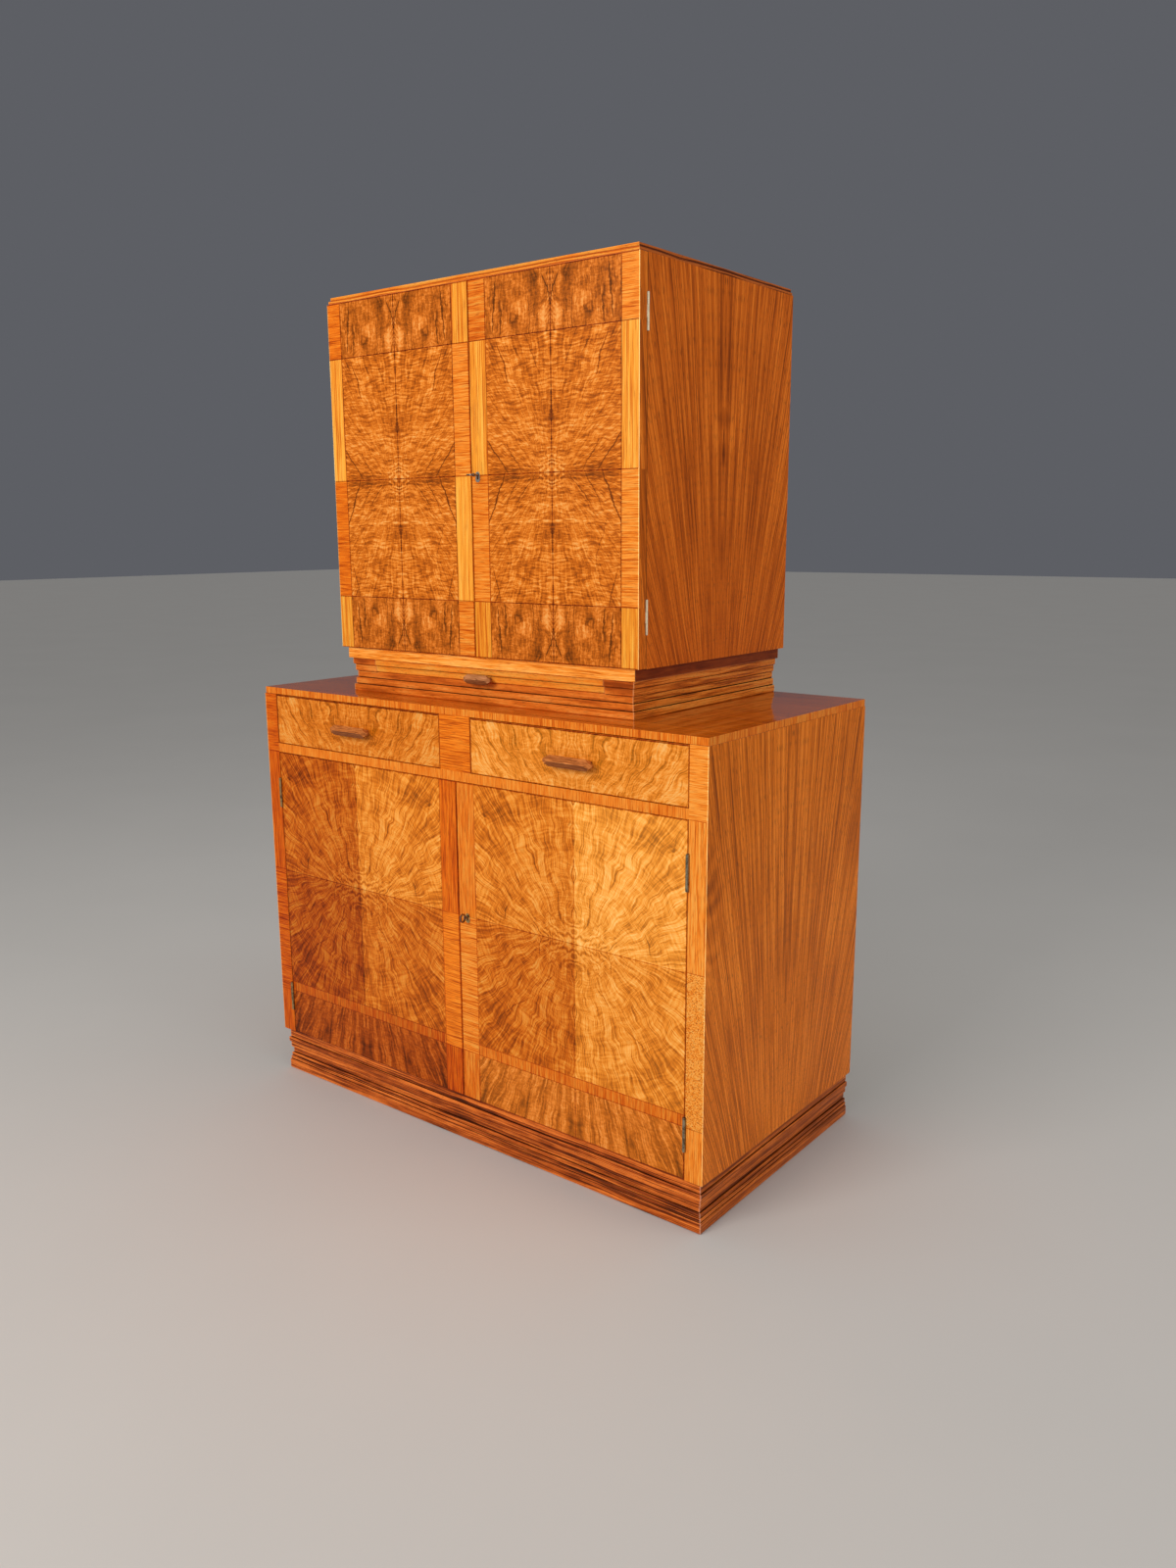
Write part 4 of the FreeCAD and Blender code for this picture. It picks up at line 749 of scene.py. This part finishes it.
# wood and tone of each band's pieces, from the lowest row up
upperInnerBands = {"right": [("long", 0.0), ("cross", 0.02), ("long", 0.08), ("cross", -0.10)],
                   "left": [("cross", 0.0), ("long", 0.14), ("cross", 0.04), ("long", 0.06)]}
upperOuterBands = {"right": [("long", 0.04), ("cross", 0.08), ("long", 0.14), ("cross", 0.06)],
                   "left": [("long", -0.02), ("redCross", 0.03), ("long", 0.12), ("redCross", 0.04)]}


def veneerUpperDoor(side):
    node = "upper_" + side + "_door"
    low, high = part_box(node)
    look = upperDoorLook
    sign = signOf[side]
    inner = min(abs(low.x), abs(high.x)) + look["innerBand"]
    outer = max(abs(low.x), abs(high.x)) - look["outerBand"]
    joints = look["joints"]
    middle = sign * (inner + outer) / 2

    def choose(centre, normal):
        row = sum(centre.z > joint for joint in joints)
        if normal.y > facing["front"] or centre.y > low.y + frontDepth:
            return hiddenLeaf(normal, edgeNumber=row, backNumber=3)
        # the eased arrises get a painted highlight
        easedHighlight = look["easedHighlight"] if normal.y > facing["flat"] else 0.0
        isOuter = abs(centre.x) > outer
        if isOuter or abs(centre.x) < inner:
            wood, tone = (upperOuterBands if isOuter else upperInnerBands)[side][row]
            return {"wood": wood, "grain": "up" if wood == "long" else "level", "tone": tone + easedHighlight,
                    "number": row + look["number"][side] + (look["outerNumber"] if isOuter else 0)}
        if row in (1, 2):
            return {"wood": "fiddleback", "middle": (middle, joints[1]), "tone": easedHighlight, "number": 1}
        height = (joints[2] + high.z) / 2 if row == 3 else (joints[0] + low.z) / 2
        return {"wood": "streaky", "middle": (middle, height), "tone": easedHighlight, "number": 3,
                "isUpsideDown": row == 0}

    lines = [(0, sign * inner), (0, sign * outer), (0, middle)] + [(2, joint) for joint in joints]
    # the outer edge is a rubbed arris with a painted highlight, the other edges get painted shade
    veneer(node, choose, lines, dict(darkRims, **{side: "worn"}))


lowerDoorLook = {"innerBand": 0.0419, "strip": (0.187, 0.207), "match": 0.4515, "easedHighlight": 0.12, "seam": 0.5}
# tones of the quarters, by whether one lies right of the middle and above the match
lowerQuarters = {"left": {(0, 0): -0.40, (0, 1): -0.24, (1, 0): -0.12, (1, 1): 0.10},
                 "right": {(0, 0): -0.10, (0, 1): 0.06, (1, 0): 0.20, (1, 1): 0.32}}
# wood and tones down the meeting edge, and tones of the strip and of the panel below it
lowerBands = {"left": {"wood": "redCross", "high": -0.07, "low": 0.16, "foot": -0.22,
                       "strip": -0.34, "panel": -0.32},
              "right": {"wood": "cross", "high": -0.03, "low": 0.06, "foot": -0.06,
                        "strip": -0.10, "panel": 0.08}}
bandNumbers = {"high": 31, "low": 33, "foot": 35, "strip": 37}


def veneerLowerDoor(side):
    node = "lower_" + side + "_door"
    low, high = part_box(node)
    look = lowerDoorLook
    bands = lowerBands[side]
    sign = signOf[side]
    inner = min(abs(low.x), abs(high.x)) + look["innerBand"]
    outer = max(abs(low.x), abs(high.x))
    middle = sign * (inner + outer) / 2
    match = look["match"]
    stripLow, stripHigh = look["strip"]

    def choose(centre, normal):
        if normal.y > facing["front"] or centre.y > low.y + frontDepth:
            return hiddenLeaf(normal, edgeNumber=2, backNumber=5)
        # the eased arrises get a painted highlight
        easedHighlight = look["easedHighlight"] if normal.y > facing["flat"] else 0.0
        if abs(centre.x) < inner:
            row = "high" if centre.z > match else "low" if centre.z > stripLow else "foot"
            return {"wood": bands["wood"], "grain": "level" if row == "low" else "up",
                    "tone": easedHighlight + bands[row], "number": bandNumbers[row] + sign}
        if centre.z < stripLow:
            return {"wood": "panel", "middle": (middle, match), "tone": easedHighlight + bands["panel"], "number": 41}
        if centre.z < stripHigh:
            return {"wood": "cross", "tone": easedHighlight + bands["strip"], "number": bandNumbers["strip"] + sign}
        quarter = (int(centre.x > middle), int(centre.z > match))
        return {"wood": "sunburst", "middle": (middle, match),
                "tone": easedHighlight + lowerQuarters[side][quarter], "number": 2}

    lines = [(0, sign * inner), (0, middle), (2, stripLow), (2, stripHigh), (2, match)]
    veneer(node, choose, lines, darkRims, look["seam"])


drawerFrontLook = {"easedHighlight": 0.10, "tone": {"left": -0.06, "right": 0.10}}


def veneerDrawer(side):
    node = side + "_drawer_front"
    low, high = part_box(node)
    look = drawerFrontLook
    middle = (low.x + high.x) / 2

    def choose(centre, normal):
        isSquare = abs(normal.y) > facing["square"]
        if isSquare and (normal.y > 0.0 or centre.y > low.y + frontDepth):
            return {"wood": "back", "grain": "level", "number": 7}
        if normal.y > facing["front"]:
            return edgeLeaf(normal, 4)
        # the eased arrises get a painted highlight
        easedHighlight = look["easedHighlight"] if normal.y > facing["flat"] else 0.0
        return {"wood": "drawer", "middle": (middle, low.z), "tone": easedHighlight + look["tone"][side], "number": 8}

    # deeper painted shade along the drawer's top and left edges
    rims = dict(darkRims, left="deep", high="deep")
    veneer(node, choose, rims=rims, cuts=[(0, middle)])


# where the two halves of each side's veneer meet, from the front and from the floor, and its tone
sideVeneer = {"upper": {"middle": (0.050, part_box("upper_left_side")[0].z), "tone": 0.0},
              "lower": {"middle": (0.005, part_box("lower_left_side")[0].z), "tone": 0.12}}


def sideLeaf(level):
    return {"wood": level + "Side", "number": 60, **sideVeneer[level]}


def veneerSide(level, side):
    def choose(centre, normal):
        if normal.x * signOf[side] > facing["square"]:
            return sideLeaf(level)
        if normal.y < -facing["square"]:
            return {"wood": "back", "tone": edgeTones["sideFront"], "number": 64}
        return {"wood": "back", "number": 65}

    middle = sideVeneer[level]["middle"][0]
    veneer(level + "_" + side + "_side", choose, cuts=[(1, middle)])


# joints from the top down, tones of the pieces from the lowest up, first leaf number
stileLook = {"joints": (0.702, 0.453, 0.186), "tones": (0.10, 0.10, 0.10, 0.14), "seam": 0.5,
             "shade": {"left": -0.28, "right": 0.0}, "number": {"left": 61, "right": 51},
             "woods": {"left": ("redCross",) * 4, "right": ("cross", "speckled", "cross", "cross")}}


def veneerStile(side):
    look = stileLook

    def choose(centre, normal):
        row = sum(centre.z > joint for joint in look["joints"])
        if abs(normal.x) > facing["square"]:  # the outer edge carries on the side's leaf
            return sideLeaf("lower")
        if abs(normal.y) < facing["square"]:
            return {"wood": "back", "number": 50}
        return {"wood": look["woods"][side][row], "grain": "level" if row in (1, 3) else "up",
                "tone": look["shade"][side] + look["tones"][row], "number": look["number"][side] + row}

    lines = [(2, joint) for joint in look["joints"]]
    # the outer edge is a rubbed arris with a painted highlight
    veneer("lower_" + side + "_stile", choose, lines, {side: "worn"}, look["seam"])


def veneerPlain(node, wood, grain, tone, number):
    def choose(centre, normal):
        if abs(normal.y) < facing["square"]:
            edge = tone + edgeTones["plain"]
            return {"wood": "long", "grain": grain, "tone": edge, "number": number + 1}
        return {"wood": wood, "grain": grain, "tone": tone, "number": number}

    veneer(node, choose)


def veneerTop():
    def choose(centre, normal):
        if normal.z > facing["square"]:
            return {"wood": "top", "grain": "level", "number": 71}
        if normal.z < -facing["square"]:
            return {"wood": "back", "grain": "level", "number": 72}
        return {"wood": "cross", "tone": edgeTones["worktop"], "number": 73}

    veneer("lower_top", choose)


def veneerCornice():
    def choose(centre, normal):
        if normal.z > facing["square"]:
            return {"wood": "capTop", "grain": "level", "number": 75}
        return {"wood": "corniceSide" if abs(normal.x) > facing["sideways"] else "cornice"}

    veneer("cornice", choose)


for side in ("left", "right"):
    veneerUpperDoor(side)
    veneerLowerDoor(side)
    veneerDrawer(side)
    veneerStile(side)
    for level in ("upper", "lower"):
        veneerSide(level, side)
veneerTop()
veneerPlain("drawer_stile", "redCross", "level", 0.10, 81)
veneerPlain("drawer_rail", "cross", "up", 0.0, 83)
# the frieze front's raised tone is partly painted light, lifting it out of the shade under the doors
veneerPlain("frieze_front", "cross", "level", 0.26, 85)
veneerCornice()
print("veneers laid")

# the rest of the solids keep their shape and take a finish
finishOf = {
    "baseX": "base_front",
    "baseY": "base_left base_right",
    "plinthX": "plinth_front",
    "plinthY": "plinth_left plinth_right",
    "friezeY": "frieze_left frieze_right",
    "pale": "slide_front",
    "handle": "left_drawer_handle right_drawer_handle",
    "slideHandle": "slide_handle",
    "innerX": "base_back lower_bottom lower_shelf upper_bottom upper_top upper_shelf plinth_back slide_board",
    "innerY": "drawer_runners shelf_battens upper_shelf_battens slide_runners "
              "left_drawer_box right_drawer_box",
    "plyZ": "lower_back upper_back",
    "ply": "left_drawer_bottom right_drawer_bottom"}
metalOf = {
    "hinges": "hinge_frame_leaves lower_left_hinge_leaves lower_right_hinge_leaves "
              "upper_left_hinge_leaves upper_right_hinge_leaves",
    "brass": "lower_left_bolt upper_left_bolt lower_lock_bolt upper_lock_bolt lower_lock",
    "nickel": "upper_lock",
    "steel": "lower_key upper_key"}
for finishes, table in ((woods, finishOf), (metals, metalOf)):
    for finish, names in table.items():
        for name in names.split():
            mesh = nodes[name].data
            mesh.materials.clear()
            mesh.materials.append(finishes[finish])

# studio: a pale floor, a grey wall for the eye, and soft lamps
stageLook = {"floor": (0.62, 0.60, 0.57), "dim": 0.94, "floorReach": 30.0, "cloudSize": (0.6, 0.6, 0.6),
             "floorRoughness": 0.7, "world": (0.38, 0.38, 0.38), "seen": (0.110, 0.114, 0.128)}


def makeFloor():
    look = stageLook
    bm = bmesh.new()
    bmesh.ops.create_grid(bm, x_segments=1, y_segments=1, size=look["floorReach"])
    mesh = bpy.data.meshes.new("floor")
    bm.to_mesh(mesh)
    bm.free()
    floor = bpy.data.objects.new("floor", mesh)
    bpy.context.scene.collection.objects.link(floor)
    material, tree, shader = newMaterial("paleFloor")
    cloud = noise(tree, objectPlace(tree), look["cloudSize"], detail=4.0, roughness=0.55)
    dim = tuple(c * look["dim"] for c in look["floor"])
    tree.links.new(blendColour(tree, cloud, dim, look["floor"]), shader.inputs["Base Color"])
    shader.inputs["Roughness"].default_value = look["floorRoughness"]
    mesh.materials.append(material)


def makeWorld():  # eye, metal and gloss see one grey wall, which isn't what lights the cabinet
    world = bpy.data.worlds.new("studio")
    world.use_nodes = True
    tree = world.node_tree
    path = tree.nodes.new("ShaderNodeLightPath")
    isSeen = calc(tree, "MAXIMUM", path.outputs["Is Camera Ray"], path.outputs["Is Transmission Ray"])
    isSeen = calc(tree, "MAXIMUM", isSeen, path.outputs["Is Glossy Ray"])
    colour = blendColour(tree, isSeen, stageLook["world"], stageLook["seen"])
    tree.links.new(colour, tree.nodes["Background"].inputs["Color"])
    bpy.context.scene.world = world


lightAim = (0.0, 0.0, 0.75)
lightLook = {
    "key": {"place": (-0.35, -3.7, 2.5), "size": 2.0, "power": 85, "colour": (1.0, 0.97, 0.93)},
    "fill": {"place": (3.4, 0.6, 1.9), "size": 2.4, "power": 22, "colour": (1.0, 0.98, 0.96)},
    "top": {"place": (0.3, -0.6, 3.8), "size": 2.5, "power": 20, "colour": (1.0, 1.0, 1.0)}}


def makeLights():
    for name, look in lightLook.items():
        lamp = bpy.data.lights.new(name, "AREA")
        lamp.size = look["size"]
        lamp.energy = look["power"]
        lamp.color = look["colour"]
        lampObject = bpy.data.objects.new(name, lamp)
        place = Vector(look["place"])
        turn = (Vector(lightAim) - place).to_track_quat("-Z", "Y").to_matrix().to_4x4()
        lampObject.matrix_world = Matrix.Translation(place) @ turn
        bpy.context.scene.collection.objects.link(lampObject)


# angles in radians, the focal length in pixels of a picture 1600 high
cameraLook = {"place": (1.4898, -1.7766, 1.1357), "yaw": 0.66408, "pitch": -0.20555, "roll": -0.00473,
              "focalPixels": 1227.83, "pictureHeight": 1600, "sensorHeight": 36.0}


def makeCamera():
    look = cameraLook
    camera = bpy.data.cameras.new("camera")
    camera.sensor_fit = "VERTICAL"
    camera.sensor_height = look["sensorHeight"]
    camera.lens = look["focalPixels"] / look["pictureHeight"] * camera.sensor_height
    yaw, pitch, roll = look["yaw"], look["pitch"], look["roll"]
    ahead = Vector((-math.sin(yaw) * math.cos(pitch), math.cos(yaw) * math.cos(pitch), math.sin(pitch)))
    right = Vector((math.cos(yaw), math.sin(yaw), 0.0))
    above = right.cross(ahead)
    tiltedRight = right * math.cos(roll) + above * math.sin(roll)
    tiltedUp = above * math.cos(roll) - right * math.sin(roll)
    turn = Matrix((tiltedRight, tiltedUp, -ahead)).transposed().to_4x4()
    cameraObject = bpy.data.objects.new("camera", camera)
    cameraObject.matrix_world = Matrix.Translation(Vector(look["place"])) @ turn
    bpy.context.scene.collection.objects.link(cameraObject)
    bpy.context.scene.camera = cameraObject


makeFloor()
makeWorld()
makeLights()
makeCamera()
bpy.context.scene.view_settings.view_transform = "Standard"
print("studio set")
